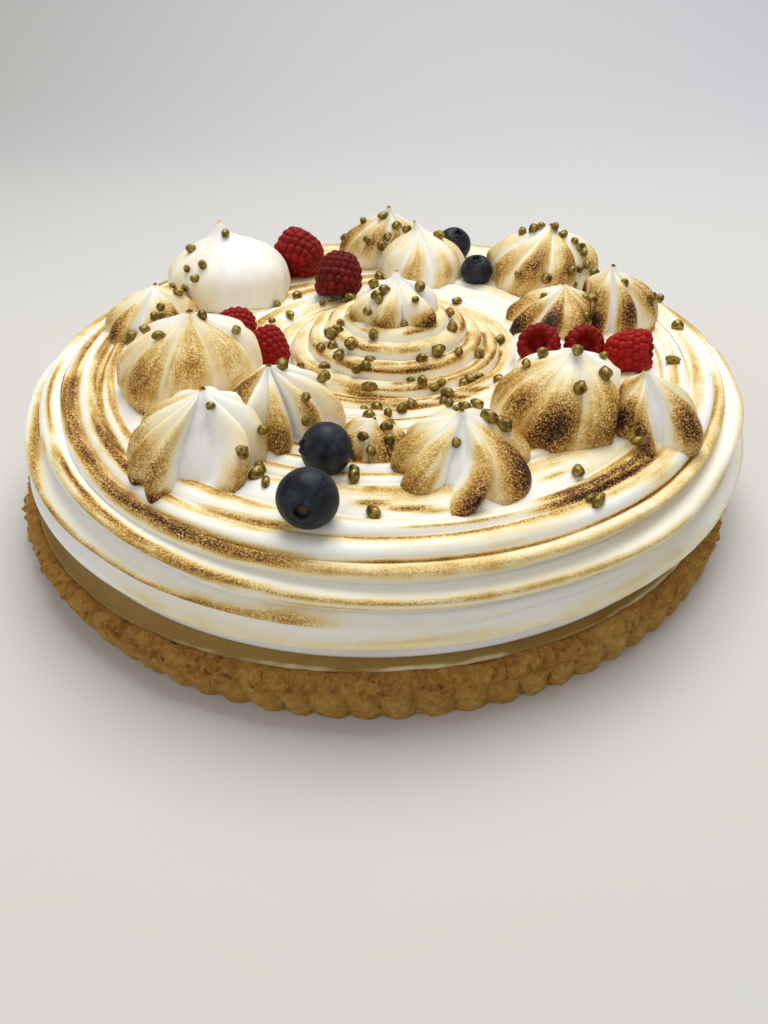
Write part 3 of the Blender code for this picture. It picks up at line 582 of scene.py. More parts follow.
def strokes_at(direction):
    """The strokes that cross a direction: their distance, width and heat there."""
    found = []
    for stroke in TORCH_STROKES:
        start, end = stroke.path[0][0], stroke.path[-1][0]
        for around in (direction, direction - 360.0, direction + 360.0):
            if start <= around <= end:
                ends = smooth_step(start, start + 11.0, around) * smooth_step(end, end - 11.0, around)
                uneven = 0.88 + 0.24 * wave(around * 0.11, stroke.width * 31.0)
                place = sum(knot_value(stroke.path, around + aside) for aside in CREASE_SOFTENING)
                found.append((place / len(CREASE_SOFTENING), stroke.width, stroke.heat * ends * uneven))
    return found


def swirl_toast(direction, share, distance, strokes, unseen):
    """How toasted the swirl is: under the torch's strokes, and on the top and behind along the crests."""
    around = math.radians(direction)
    lines = wave(distance * 1.15, math.cos(around) * 2.2, math.sin(around) * 2.2)
    patches = wave(distance * 0.16, math.cos(around) * 2.6 + 9.0, math.sin(around) * 2.6)
    steady = 0.5 + 0.9 * patches + 0.55 * lines
    behind = BACK_HEAT * smooth_step(0.3, 0.5, share) * smooth_step(0.97, 0.74, share) * (0.65 + 0.5 * steady)
    top = knot_value(TOP_HEAT, direction) * smooth_step(0.3, 0.6, share) * smooth_step(1.0, 0.8, share)
    top = max(top * (0.3 + 1.3 * steady), 0.16 * smooth_step(-0.1, 0.9, lines + patches)) + 0.02
    gold = smooth_step(0.08, 0.4, share) * smooth_step(1.1, 0.75, share)
    edge = smooth_step(0.2, 0.3, share) * smooth_step(0.52, 0.38, share)
    cone = 0.1 + 0.22 * gold * (0.75 + 0.5 * patches) + 0.5 * edge * max(steady - 0.1, 0.0)
    crest = SIDE_HEAT * math.exp(-((share - CREST) / 0.17) ** 2) * (0.8 + 0.6 * patches + 0.3 * lines)
    crest *= smooth_step(236.0, 296.0, direction) * smooth_step(374.0, 350.0, direction)
    toast = mix(max(behind * unseen, crest), top, smooth_step(34.0, 42.0, distance))
    toast = mix(toast, cone, smooth_step(100.0, 106.0, distance))
    for place, width, heat in strokes:
        beside = (distance - place) / width
        if abs(beside) < 2.6:
            toast = max(toast, heat * math.exp(-0.8 * beside * beside) * (0.92 + 0.22 * lines))
    return max(toast, 0.0)


# %% [markdown]
# A flat grid has the same make-up as the spiral: its rows run along the groove and its columns go across it. So
# the grid is wound up. A column becomes a direction, and a row becomes a place between two creases. Each ridge
# bulges out between its creases, deeper down the side than on the top.

# %% The swirl
SWIRL_COLUMNS = 400
ROWS_PER_RIDGE = 11
CREASE_CROWDING = 0.5        # rows stand closer in the creases, which are narrow
FULL_RIDGE = 6.5             # a ridge narrower than this, in millimetres, bulges less
RIDGE_DEPTHS = ((0, 1.5), (8, 2.8), (14, 3.3), (24, 3.0), (30, 1.5), (36, 0.75), (92, 0.7), (103, 1.2),
                (138, 1.0), (146, 0.2))


def swirl_piece():
    rows = CREASE_COUNT * ROWS_PER_RIDGE
    columns = []
    for column in range(SWIRL_COLUMNS + 1):
        direction = 90.0 + 360.0 * column / SWIRL_COLUMNS
        creases = [crease_distance(index, direction) for index in range(CREASE_COUNT)] + [SWIRL_OUTLINE.length]
        seen = smooth_step(166.0, 184.0, direction) * smooth_step(368.0, 350.0, direction)
        columns.append((direction, creases, strokes_at(direction % 360.0), 1.0 - seen))
    bm = bmesh.new()
    toast = bm.verts.layers.float.new("toast")
    flow = bm.verts.layers.float_vector.new("flow")
    bmesh.ops.create_grid(bm, x_segments=SWIRL_COLUMNS, y_segments=rows, size=0.5)
    for vertex in bm.verts:
        direction, creases, strokes, unseen = columns[round((vertex.co.x + 0.5) * SWIRL_COLUMNS)]
        index, step = divmod(round((vertex.co.y + 0.5) * rows), ROWS_PER_RIDGE)
        share = step / ROWS_PER_RIDGE
        share -= CREASE_CROWDING * math.sin(math.tau * share) / math.tau
        lower, upper = creases[min(index, CREASE_COUNT)], creases[min(index + 1, CREASE_COUNT)]
        distance = mix(lower, upper, share)
        angle = math.radians(direction)
        around = Vector((math.cos(angle), math.sin(angle), 0.0))
        place, outward = SWIRL_OUTLINE.at(distance)
        fade = smooth_step(0.0, 3.0, distance) * smooth_step(0.0, 12.0, SWIRL_OUTLINE.length - distance)
        depth = knot_value(RIDGE_DEPTHS, distance) * min(1.0, (upper - lower) / FULL_RIDGE)
        depth *= 1.0 + 0.3 * smooth_step(285.0, 305.0, direction % 360.0) * smooth_step(34.0, 26.0, distance)
        depth *= 1.0 + 0.3 * wave(around.x * 2.4, around.y * 2.4, (index - (direction - 90.0) / 360.0) * 3.0)
        flat = smooth_step(24.0, 34.0, distance)
        crested = share ** mix(math.log(0.5) / math.log(CREST), 1.0, flat)
        bulge = max(math.sin(math.pi * crested), 0.0) ** mix(0.95, 0.62, flat)
        relief = depth * (1.9 * bulge - 1.0)
        double = smooth_step(236.0, 262.0, direction) * smooth_step(345.0, 325.0, direction) if index == 2 else 0.0
        relief -= 0.55 * double * math.exp(-((share - 0.54) / 0.07) ** 2)
        relief += 0.16 * wave(distance * 0.9, around.x * 3.0, around.y * 3.0)
        relief += 0.45 * wave(distance * 0.12, around.x * 4.0, around.y * 4.0)
        place = place + outward * relief * fade
        shift = smooth_step(CONE_REACH * 1.6, CONE_REACH * 0.6, place.x)
        centre_x = mix(DISC_CENTRE[0], CONE_CENTRE[0], shift)
        centre_y = mix(DISC_CENTRE[1], CONE_CENTRE[1], shift)
        vertex.co = (centre_x + place.x * around.x, centre_y + place.x * around.y, place.y)
        vertex[toast] = swirl_toast(direction % 360.0, share, distance, strokes, unseen)
        vertex[flow] = (around.x * 5.0, around.y * 5.0, distance * 0.9)
    bmesh.ops.remove_doubles(bm, verts=bm.verts, dist=0.002)
    bmesh.ops.holes_fill(bm, edges=[edge for edge in bm.edges if edge.is_boundary])
    return finish_piece("meringue_swirl", bm, torched_meringue, ["meringue_base"])


swirl = swirl_piece()
swirl_tree = surface_tree(swirl)

# %% [markdown]
# ### The kisses
#
# A kiss is one squeeze of a star nozzle: a round belly, ribs that turn a little on the way up, and a thin tip
# drawn out as the nozzle left. Its half section is a smooth curve from the middle of the underside to the tip.
# Spun round it is a plain onion shape, and then the ribs are pulled out of it. The ribs keep a full, domed
# section, and the creases between them cave in like the side of a tent. The neck is long and thin where the
# nozzle was pulled up fast, and short where it was turned away.

# %% The kisses' sizes and sections
Kiss = namedtuple("Kiss", "x y radius height ribs depth twist lean stretch turn heat foot neck")
KISSES = {
    "kiss_back_left_large": Kiss(-55.5, 51, 23.5, 27, 9, 0.055, 25, (-2, 1), 1.02, 0, 0.12, 0.1, 0.75),
    "kiss_left_back_flat": Kiss(-80.5, 19, 16.0, 15, 8, 0.13, 10, (3, 2), 1.08, 80, 0.66, 0.42, 0.3),
    "kiss_left_golden": Kiss(-56.8, -27, 22.0, 25, 7, 0.085, 20, (2, -1), 1.05, 20, 0.4, 0.2, 0.1),
    "kiss_front_left": Kiss(-48.6, -69.5, 17.6, 20, 9, 0.12, 15, (4.5, 1), 1.08, 90, 0.4, 0.7, 0.05),
    "kiss_centre_left": Kiss(-26, -51, 16.2, 19, 7, 0.14, 10, (-3, -2), 1.00, 0, 0.5, 0.5, 0.2),
    "kiss_behind_berries": Kiss(0, -66, 9.5, 8, 5, 0.15, 0, (0, 0), 1.15, 90, 0.85, 0.8, 0.2),
    "kiss_on_cone": Kiss(8, -5, 13.5, 13, 6, 0.11, 20, (1, 0), 1.10, 0, 0.36, 0.5, 0.8),
    "kiss_back_centre": Kiss(4, 86, 17.0, 22, 9, 0.10, 20, (5, -2), 1.00, 0, 0.52, 0.4, 0.5),
    "kiss_back_white": Kiss(22, 65.5, 16.8, 21, 9, 0.07, 30, (-3, 2), 1.03, 0, 0.34, 0.3, 0.75),
    "kiss_back_right_large": Kiss(67.5, 57, 21.0, 20, 9, 0.07, 20, (4.5, 2.5), 1.05, 0, 0.6, 0.3, 0.25),
    "kiss_right_back": Kiss(66, 12, 16.0, 14, 9, 0.14, 15, (3, 3), 1.05, 0, 0.86, 0.7, 0.3),
    "kiss_right": Kiss(87.5, 11.5, 15.0, 19, 8, 0.12, 15, (-3.5, 3), 1.00, 0, 0.86, 0.66, 0.35),
    "kiss_right_front_large": Kiss(54.5, -54, 19.4, 22, 8, 0.065, 15, (3, 1), 1.04, 0, 0.5, 0.5, 0.2),
    "kiss_right_pleated": Kiss(79.8, -60.5, 12.6, 18, 7, 0.15, 10, (-4.3, 2), 1.05, 70, 0.6, 0.7, 0.45),
    "kiss_front_centre": Kiss(23, -77.5, 16.6, 17, 7, 0.15, 20, (0.7, 1), 1.10, 90, 0.5, 0.75, 0.55),
}
DOME = SmoothCurve((
    (0.0, 0.0), (0.45, 0.0), (0.78, 0.0), (0.94, 0.03), (1.0, 0.14), (1.01, 0.3), (0.98, 0.45), (0.91, 0.57),
    (0.79, 0.68), (0.62, 0.77), (0.43, 0.84), (0.26, 0.89), (0.14, 0.93), (0.065, 0.965), (0.036, 0.987),
    (0.0, 1.0)))
LONG_NECK = SmoothCurve((
    (0.0, 0.0), (0.45, 0.0), (0.78, 0.0), (0.93, 0.02), (1.0, 0.11), (1.01, 0.24), (0.98, 0.36), (0.9, 0.465),
    (0.77, 0.55), (0.61, 0.615), (0.45, 0.675), (0.28, 0.735), (0.16, 0.8), (0.08, 0.87), (0.04, 0.95), (0.024, 0.985),
    (0.0, 1.0)))
TENT = SmoothCurve((
    (0.0, 0.0), (0.5, 0.0), (0.86, 0.0), (0.97, 0.02), (1.0, 0.07), (0.96, 0.16), (0.86, 0.28), (0.72, 0.41),
    (0.56, 0.54), (0.4, 0.66), (0.26, 0.76), (0.16, 0.85), (0.10, 0.92), (0.065, 0.965), (0.05, 0.985), (0.0, 1.0)))
KISS_SINK = 3.0
TOUCH_GAP = 0.3              # half of the gap between kisses that press on each other
BERRIES_BESIDE = (           # x, y and reach of the berries, which the kisses were piped up against
    (-28.5, 68.5, 9.4), (-12, 44.5, 9.2), (-46.5, 2.5, 6.9), (-33.6, -13.6, 7), (55.5, -16.5, 6.9),
    (69.6, -15.5, 6.4), (82.2, -23, 7.5), (-12, -78, 7.2), (-15.5, -100.5, 7.7), (35.5, 79.5, 7.2), (42.5, 54, 6.3))


def press_planes(name):
    """Upright planes on which a kiss flattens against its neighbours."""
    kiss = KISSES[name]
    planes = []
    for other, near in KISSES.items():
        apart = Vector((near.x - kiss.x, near.y - kiss.y, 0.0))
        if other != name and apart.length < (kiss.radius + near.radius) * 1.3:
            share = kiss.radius / (kiss.radius + near.radius)
            planes.append((apart.normalized(), apart.length * share - TOUCH_GAP))
    for x, y, reach in BERRIES_BESIDE:
        apart = Vector((x - kiss.x, y - kiss.y, 0.0))
        if apart.length < kiss.radius * 1.3 + reach:
            planes.append((apart.normalized(), apart.length - reach - TOUCH_GAP))
    return planes


print("kisses:", len(KISSES))

# %% [markdown]
# No two ribs of a real kiss are alike. On the kisses at the front each rib is listed: the direction of its foot,
# how far it reaches as a share of the kiss's radius, half its width in degrees, how many degrees its foot curls
# away from its top, and its heats. The first heat is the browned stretch on its crest, hottest at a share of the
# height, and the last one is the knob at its foot. A low rib fades out above a share of the height. The other
# kisses get even ribs with small differences.

# %% The kisses' ribs
Rib = namedtuple("Rib", "direction reach width curl heat hot knob low", defaults=(0.0, 0.4, 0.4, 0.3, 1.0))
RIBS = {
    "kiss_back_left_large": (
        Rib(22, 1.0, 36, 0, 0.1), Rib(72, 1.0, 36, 0, 0.1), Rib(122, 1.0, 38, 0, 0.14),
        Rib(172, 1.0, 34, 0, 0.26, 0.4, 0.2), Rib(214, 1.0, 30, 8, 0.2, 0.45, 0.12),
        Rib(246, 1.0, 24, 10, 0.14, 0.4, 0.04), Rib(274, 1.0, 22, 4, 0.04, 0.4, 0.03),
        Rib(322, 1.0, 42, 0, 0.12, 0.3, 0.14)),
    "kiss_left_golden": (
        Rib(30, 0.95, 30, 0, 0.3), Rib(85, 0.95, 34, 0, 0.3), Rib(138, 0.98, 32, 0, 0.36, 0.4, 0.2),
        Rib(184, 1.0, 33, 0, 0.54, 0.45, 0.48), Rib(226, 1.0, 29, 6, 0.56, 0.5, 0.42),
        Rib(270, 1.0, 31, 6, 0.46, 0.66, 0.1), Rib(318, 1.0, 32, 4, 0.46, 0.68, 0.1),
        Rib(356, 0.97, 26, 0, 0.28, 0.5, 0.2), Rib(236, 1.17, 15, 0, 0.3, 0.1, 0.6, 0.22)),
    "kiss_front_left": (
        Rib(30, 0.96, 26, 0, 0.24), Rib(76, 1.0, 30, 0, 0.24), Rib(112, 1.05, 24, 0, 0.4),
        Rib(146, 1.14, 25, 0, 0.5, 0.6, 0.3), Rib(182, 1.08, 22, 4, 0.48, 0.5, 0.42),
        Rib(215, 1.13, 17, 8, 0.52, 0.5, 0.9), Rib(244, 1.22, 12, 12, 0.58, 0.44, 0.96),
        Rib(304, 1.22, 18, -14, 0.46, 0.3, 0.92), Rib(350, 1.1, 27, -6, 0.42, 0.4, 0.5)),
    "kiss_centre_left": (
        Rib(28, 0.95, 16, 0, 0.2), Rib(62, 1.0, 18, 0, 0.26), Rib(104, 1.0, 27, 0, 0.3), Rib(150, 1.0, 24, 0, 0.5, 0.6),
        Rib(192, 1.02, 24, 0, 0.62, 0.66, 0.3), Rib(236, 1.02, 20, 0, 0.16, 0.4, 0.2),
        Rib(271, 1.3, 16, 4, 0.66, 0.42, 0.66), Rib(306, 1.12, 19, -4, 0.5, 0.5, 0.4),
        Rib(346, 1.15, 25, -4, 0.42, 0.42, 0.44)),
    "kiss_on_cone": (
        Rib(20, 1.05, 30, 0, 0.2, 0.4, 0.2), Rib(75, 1.0, 32, 0, 0.2), Rib(135, 1.0, 32, 0, 0.2),
        Rib(196, 1.05, 30, 0, 0.34, 0.3, 0.62), Rib(250, 1.0, 30, 10, 0.34, 0.3, 0.66),
        Rib(318, 1.12, 28, 26, 0.36, 0.3, 1.0)),
    "kiss_right_front_large": (
        Rib(24, 1.0, 27, 0, 0.4), Rib(72, 0.97, 29, 0, 0.4), Rib(120, 0.97, 30, 0, 0.42),
        Rib(164, 0.98, 30, 0, 0.56, 0.46, 0.44), Rib(204, 0.98, 28, 0, 0.64, 0.5, 0.44),
        Rib(243, 1.04, 34, 4, 0.84, 0.38, 0.36), Rib(292, 1.04, 33, -4, 0.88, 0.42, 0.36),
        Rib(342, 1.08, 29, -4, 0.5, 0.42, 0.44), Rib(276, 1.22, 11, 0, 0.7, 0.1, 1.0, 0.18),
        Rib(312, 1.18, 12, 0, 0.55, 0.1, 0.7, 0.2)),
    "kiss_right_pleated": (
        Rib(14, 1.16, 27, 0, 0.54, 0.4, 0.44), Rib(62, 1.06, 26, 0, 0.36), Rib(110, 1.0, 26, 0, 0.4),
        Rib(158, 0.96, 26, 0, 0.6, 0.6, 0.5), Rib(206, 0.98, 24, 0, 1.0, 0.5, 0.8),
        Rib(253, 1.2, 17, 22, 0.95, 0.36, 1.0), Rib(310, 1.2, 36, -6, 0.92, 0.4, 0.66)),
    "kiss_front_centre": (
        Rib(52, 1.0, 26, 0, 0.36), Rib(96, 1.12, 28, 0, 0.44, 0.6, 0.4), Rib(136, 1.0, 24, 0, 0.3),
        Rib(172, 1.1, 28, 0, 0.5, 0.4, 0.98), Rib(218, 1.17, 24, 8, 0.74, 0.3, 1.0),
        Rib(257, 1.26, 18, -26, 0.84, 0.3, 1.0), Rib(314, 1.26, 36, 0, 0.88, 0.32, 0.94),
        Rib(8, 1.16, 27, 6, 0.64, 0.36, 1.0)),
}


def ribs_of(name, kiss):
    """The ribs of a kiss: those listed, or even ones with small differences."""
    if name in RIBS:
        return RIBS[name]
    made = []
    for number in range(kiss.ribs):
        odd = [wave(number * 3.7 + kiss.x, kiss.y, place) for place in (0.0, 4.1, 8.3)]
        made.append(Rib(
            direction=(number + 0.35 * odd[0]) * 360.0 / kiss.ribs,
            reach=1.0 + kiss.depth * (0.4 + odd[1]),
            width=180.0 / kiss.ribs * (1.08 + 0.3 * odd[2]),
            heat=kiss.heat * (1.0 + 0.6 * odd[1]),
            hot=0.45 + 0.3 * odd[2],
            knob=kiss.foot * (1.0 + 0.5 * odd[0])))
    return made


# %% [markdown]
# The torch touched what stood out: the crests of the ribs, the knobs at their feet, and the tips, which burn
# black because they are thin. The heat runs a little past each crest on the side the flame came from.

# %% One place on a kiss
def rib_lobes(ribs, direction, rise, knob_top):
    """How much of a rib a place is, how far the ribs there reach, and how toasted the place is."""
    lobe, reach, heat, weights = 0.0, 0.0, 0.0, 0.0
    for rib in ribs:
        foot = rib.direction - rib.curl * min(rise * 1.6, 1.0)
        beside = ((direction - foot + 180.0) % 360.0 - 180.0) / rib.width
        if abs(beside) < 1.0:
            fade = 1.0 if rib.low >= 1.0 else smooth_step(rib.low, rib.low * 0.4, rise)
            crest = math.cos(0.5 * math.pi * beside) ** 0.6 * fade
            weight = crest ** 4
            lobe = max(lobe, crest)
            reach += weight * mix(1.0, rib.reach, smooth_step(0.8, 0.15, rise))
            weights += weight
            aside = math.exp(-1.1 * (beside - 0.1) ** 2) * smooth_step(0.18, 0.62, crest)
            band = rib.heat * math.exp(-((rise - rib.hot) / 0.36) ** 2)
            knob = rib.knob * smooth_step(knob_top, knob_top * 0.2, rise)
            heat = max(heat, aside * max(band, knob, 0.6 * rib.heat * smooth_step(0.97, 0.6, rise)))
    reach = reach / weights if weights else 1.0
    return lobe, reach, heat


KISS_ROWS = 60
KISS_COLUMNS = 168
FULL_CREASE = 0.1            # the depth from which creases cave in fully


def kiss_piece(name, kiss):
    ground = drop_on(swirl_tree, kiss.x, kiss.y)[0].z
    bm = bmesh.new()
    toast = bm.verts.layers.float.new("toast")
    flow = bm.verts.layers.float_vector.new("flow")
    points = [bm.verts.new((1.0, 0.0, row)) for row in range(KISS_ROWS + 1)]
    section = points + [bm.edges.new(pair) for pair in zip(points, points[1:])]
    bmesh.ops.spin(bm, geom=section, cent=(0, 0, 0), axis=(0, 0, 1), angle=math.tau, steps=KISS_COLUMNS,
                   use_merge=True)
    planes = press_planes(name)
    ribs = ribs_of(name, kiss)
    along = math.radians(kiss.turn)
    crest_levels, crease_levels = [], []
    for row in range(KISS_ROWS + 1):
        dome, _ = DOME.at(row / KISS_ROWS * DOME.length)
        long_neck, _ = LONG_NECK.at(row / KISS_ROWS * LONG_NECK.length)
        tent, _ = TENT.at(row / KISS_ROWS * TENT.length)
        crest = dome.lerp(long_neck, kiss.neck)
        crest_levels.append(crest)
        crease_levels.append(crest.lerp(tent.lerp(long_neck, 0.5 * kiss.neck), min(1.0, kiss.depth / FULL_CREASE)))
    valley = 1.0 - 2.2 * kiss.depth
    pressed = []
    for vertex in bm.verts:
        angle = math.atan2(vertex.co.y, vertex.co.x)
        row = round(vertex.co.z)
        crest, crease = crest_levels[row], crease_levels[row]
        rise = min(max(crest.y, 0.0), 1.0)
        side = Vector((math.cos(angle), math.sin(angle), 0.0))
        turned = angle + math.radians(kiss.twist) * rise
        lobe, rib_reach, heat = rib_lobes(ribs, math.degrees(angle), rise, 0.38 + 0.3 * kiss.neck)
        dented = mix(valley, 1.0, smooth_step(0.72, 0.98, rise))
        reach = mix(max(crease.x, 0.0) * dented, max(crest.x, 0.0) * rib_reach, lobe)
        rise = min(max(mix(crease.y, crest.y, lobe), 0.0), 1.0)
        uneven = 1.0 + 0.05 * noise.noise(side * 1.1 + Vector((kiss.x, kiss.y, rise * 1.7)))
        uneven += 0.02 * noise.noise(side * 4.5 + Vector((kiss.x, kiss.y, rise * 6.0)))
        spread = reach
        reach *= kiss.radius * uneven
        offset = Vector((reach * math.cos(turned - along) * kiss.stretch, reach * math.sin(turned - along)))
        offset.rotate(Matrix.Rotation(along, 2))
        bend = rise ** 1.6
        hook = smooth_step(0.86, 1.0, rise) * 0.9
        spot = Vector((offset.x + kiss.lean[0] * bend + hook * math.cos(kiss.x),
                       offset.y + kiss.lean[1] * bend + hook * math.sin(kiss.x), 0.0))
        for outward, limit in planes:
            beyond = spot.dot(outward) - limit
            if beyond > 0.0:
                spot -= outward * beyond
                pressed.append(vertex)
        droop = 1.2 * smooth_step(1.02, 1.25, spread) * smooth_step(0.3, 0.0, rise)
        height = ground - KISS_SINK + (kiss.height + KISS_SINK) * rise - droop
        vertex.co = (kiss.x + spot.x, kiss.y + spot.y, height)
        blown = 0.85 + 0.5 * wave(kiss.x + side.x * 1.8, kiss.y + side.y * 1.8, rise * 2.2)
        vertex[toast] = max(heat * blown, min(0.95, 0.45 + kiss.heat) * smooth_step(0.965, 0.99, rise), 0.0)
        vertex[flow] = (side.x * 9.0 + kiss.x, side.y * 9.0, rise * 2.0)
    bmesh.ops.smooth_vert(bm, verts=list(set(pressed)), factor=0.5, use_axis_x=True, use_axis_y=True)
    return finish_piece(name.replace("kiss", "piped_kiss"), bm, torched_meringue, [name])


kisses = [kiss_piece(name, kiss) for name, kiss in KISSES.items()]

# %% [markdown]
# ## Raspberries
#
# A raspberry is a thimble of small round drupelets with a hollow where the stalk was. The thimble is spun
# from its section, and then small balls are set on it in rings, each ring turned by half a ball. They are
# repeated hundreds of times, so each has a few dozen faces. Every ball has its own tint, as ripe fruit has.

# %% The raspberry finish
def raspberry_finish():
    """Ripe raspberry: thin wet-looking skin with a velvet of fine hairs."""
    material, shader = start_material("ripe_raspberry")
    place = add_node(material, "ShaderNodeTexCoord").outputs["Object"]
    tint = add_node(material, "ShaderNodeAttribute", attribute_name="tint").outputs["Fac"]
    pulp = add_node(material, "ShaderNodeTexNoise", {"Vector": place, "Scale": 500.0, "Detail": 3.0})
    tone = add_node(material, "ShaderNodeMath", {0: pulp.outputs["Fac"], 1: 0.3, 2: tint},
                    operation="MULTIPLY_ADD")
    colour = add_node(material, "ShaderNodeValToRGB", {"Fac": tone.outputs["Value"]}, stops=(
        (0.0, "#3E0605"), (1.0, "#C21F12"), (0.35, "#700C08"), (0.65, "#99110A")))
    hairs = add_node(material, "ShaderNodeTexNoise", {"Vector": place, "Scale": 2600.0, "Detail": 1.0})
    bump = add_node(material, "ShaderNodeBump", {"Height": hairs.outputs["Fac"], "Strength": 0.25,
                                                 "Distance": 0.0002})
    links = material.node_tree.links
    links.new(colour.outputs["Color"], shader.inputs["Base Color"])
    links.new(bump.outputs["Normal"], shader.inputs["Normal"])
    shader.inputs["Roughness"].default_value = 0.56
    shader.inputs["IOR"].default_value = 1.4
    shader.inputs["Specular IOR Level"].default_value = 0.24
    shader.inputs["Subsurface Weight"].default_value = 0.3
    shader.inputs["Subsurface Radius"].default_value = (1.0, 0.15, 0.1)
    shader.inputs["Subsurface Scale"].default_value = 0.0025
    shader.inputs["Sheen Weight"].default_value = 0.02
    shader.inputs["Sheen Roughness"].default_value = 0.5
    shader.inputs["Sheen Tint"].default_value = linear("#F09090")
    return material


raspberry_skin = raspberry_finish()

# %% The raspberries
Raspberry = namedtuple("Raspberry", "x y radius length facing tilt tint")
RASPBERRIES = {
    "raspberry_back_large": Raspberry(-28.5, 68.5, 9.8, 18.0, 150, 15, 0.34),
    "raspberry_back_dark": Raspberry(-12, 44.5, 9.0, 17.5, 250, -60, 0.08),
    "raspberry_left_back": Raspberry(-46.5, 2.5, 6.7, 13.5, 100, 30, 0.4),
    "raspberry_left_front": Raspberry(-33.6, -13.6, 6.7, 13.5, 130, 35, 0.42),
    "raspberry_right_hollow": Raspberry(55.5, -16.5, 6.9, 12.8, 240, 35, 0.32),
    "raspberry_right_middle": Raspberry(69.6, -15.5, 6.2, 12.4, 268, 30, 0.36),
    "raspberry_right_bright": Raspberry(82.2, -23, 7.2, 15.0, 335, 12, 0.5),
}
THIMBLE = SmoothCurve((
    (0.0, -0.5), (0.42, -0.46), (0.74, -0.32), (0.93, -0.08), (1.0, 0.14), (0.96, 0.34), (0.82, 0.46),
    (0.64, 0.48), (0.5, 0.41), (0.38, 0.28), (0.22, 0.18), (0.0, 0.16)))
RASPBERRY_SINK = 2.6
BALL_SINK = 0.8              # how deep a drupelet sits, as a share of its radius


def facing(direction, tilt):
    """The unit vector at a compass angle and a tilt over the level, both in degrees."""
    around = math.radians(direction)
    up = math.radians(tilt)
    return Vector((math.cos(around) * math.cos(up), math.sin(around) * math.cos(up), math.sin(up)))


def raspberry_piece(name, berry, draw):
    bm = bmesh.new()
    tint = bm.verts.layers.float.new("tint")
    points = []
    for step in range(25):
        point, _ = THIMBLE.at(THIMBLE.length * step / 24)
        points.append(bm.verts.new((max(point.x, 0.0) * berry.radius * 0.94, 0.0, point.y * berry.length * 0.98)))
    section = points + [bm.edges.new(pair) for pair in zip(points, points[1:])]
    bmesh.ops.spin(bm, geom=section, cent=(0, 0, 0), axis=(0, 0, 1), angle=math.tau, steps=32, use_merge=True)
    for vertex in bm.verts:
        vertex[tint] = berry.tint - 0.02
    size = 0.195 * berry.radius + 0.12
    path = 0.0
    ring = 0
    while path < 0.84 * THIMBLE.length:
        point, normal = THIMBLE.at(path)
        radius = point.x * berry.radius
        around = max(1, round(math.tau * radius / (size * 1.72)))
        for number in range(around):
            angle = math.tau * (number + 0.5 * (ring % 2)) / around + draw.uniform(-0.12, 0.12) / max(1, around * 0.2)
            turn = Matrix.Rotation(angle, 3, "Z")
            ball = bmesh.ops.create_uvsphere(bm, u_segments=8, v_segments=6, radius=size * draw.uniform(0.93, 1.1))
            inside = size * BALL_SINK * normal
            place = Vector((radius - inside.x, 0.0, point.y * berry.length - inside.y))
            bmesh.ops.translate(bm, vec=turn @ place, verts=ball["verts"])
            shade = berry.tint + draw.uniform(-0.08, 0.1)
            for vertex in ball["verts"]:
                vertex[tint] = shade
        path += size * 1.6 / berry.length * 1.12
        ring += 1
    axis = facing(berry.facing, berry.tilt)
    bmesh.ops.rotate(bm, matrix=Vector((0, 0, 1)).rotation_difference(axis).to_matrix(), verts=bm.verts)
    ground = drop_on(swirl_tree, berry.x, berry.y)[0].z
    lowest = min(vertex.co.z for vertex in bm.verts)
    bmesh.ops.translate(bm, vec=(berry.x, berry.y, ground - lowest - RASPBERRY_SINK), verts=bm.verts)
    return finish_piece(name.replace("raspberry", "fresh_raspberry"), bm, raspberry_skin, [name])


fruit_draw = random.Random(7)
raspberries = [raspberry_piece(name, berry, fruit_draw) for name, berry in RASPBERRIES.items()]

# %% [markdown]
# ## Blueberries
#
# A blueberry is a slightly flat ball, nearly black, under a pale bloom of wax that is rubbed off in places.
# At the flower end it has a five-lobed crown round a pit. The whole berry is spun from one section, and the
# crown's lobes are then pulled up out of the spun lip.

# %% The blueberry finish
def blueberry_finish():
    """Blueberry: dark blue-black skin, dull grey-blue where the wax bloom is left."""
    material, shader = start_material("waxy_blueberry")
    place = add_node(material, "ShaderNodeTexCoord").outputs["Object"]
    crown = add_node(material, "ShaderNodeAttribute", attribute_name="crown").outputs["Fac"]
    bloom = add_node(material, "ShaderNodeTexNoise", {"Vector": place, "Scale": 260.0, "Detail": 5.0,
                                                      "Roughness": 0.62})
    skin = add_node(material, "ShaderNodeValToRGB", {"Fac": bloom.outputs["Fac"]}, stops=(
        (0.3, "#090B10"), (0.75, "#353D4A"), (0.5, "#151A23")))
    pit = add_node(material, "ShaderNodeMix", {"Factor": crown, "A": skin.outputs["Color"], "B": linear("#6E5030")},
                   data_type="RGBA")
    pits = add_node(material, "ShaderNodeTexNoise", {"Vector": place, "Scale": 1400.0, "Detail": 2.0})
    bump = add_node(material, "ShaderNodeBump", {"Height": pits.outputs["Fac"], "Strength": 0.2,
                                                 "Distance": 0.0002})
    dull = add_node(material, "ShaderNodeMapRange", {"Value": bloom.outputs["Fac"], "From Min": 0.35,
                                                     "From Max": 0.65, "To Min": 0.36, "To Max": 0.6})
    links = material.node_tree.links
    links.new(pit.outputs["Result"], shader.inputs["Base Color"])
    links.new(dull.outputs["Result"], shader.inputs["Roughness"])
    links.new(bump.outputs["Normal"], shader.inputs["Normal"])
    shader.inputs["Specular IOR Level"].default_value = 0.26
    return material


blueberry_skin = blueberry_finish()

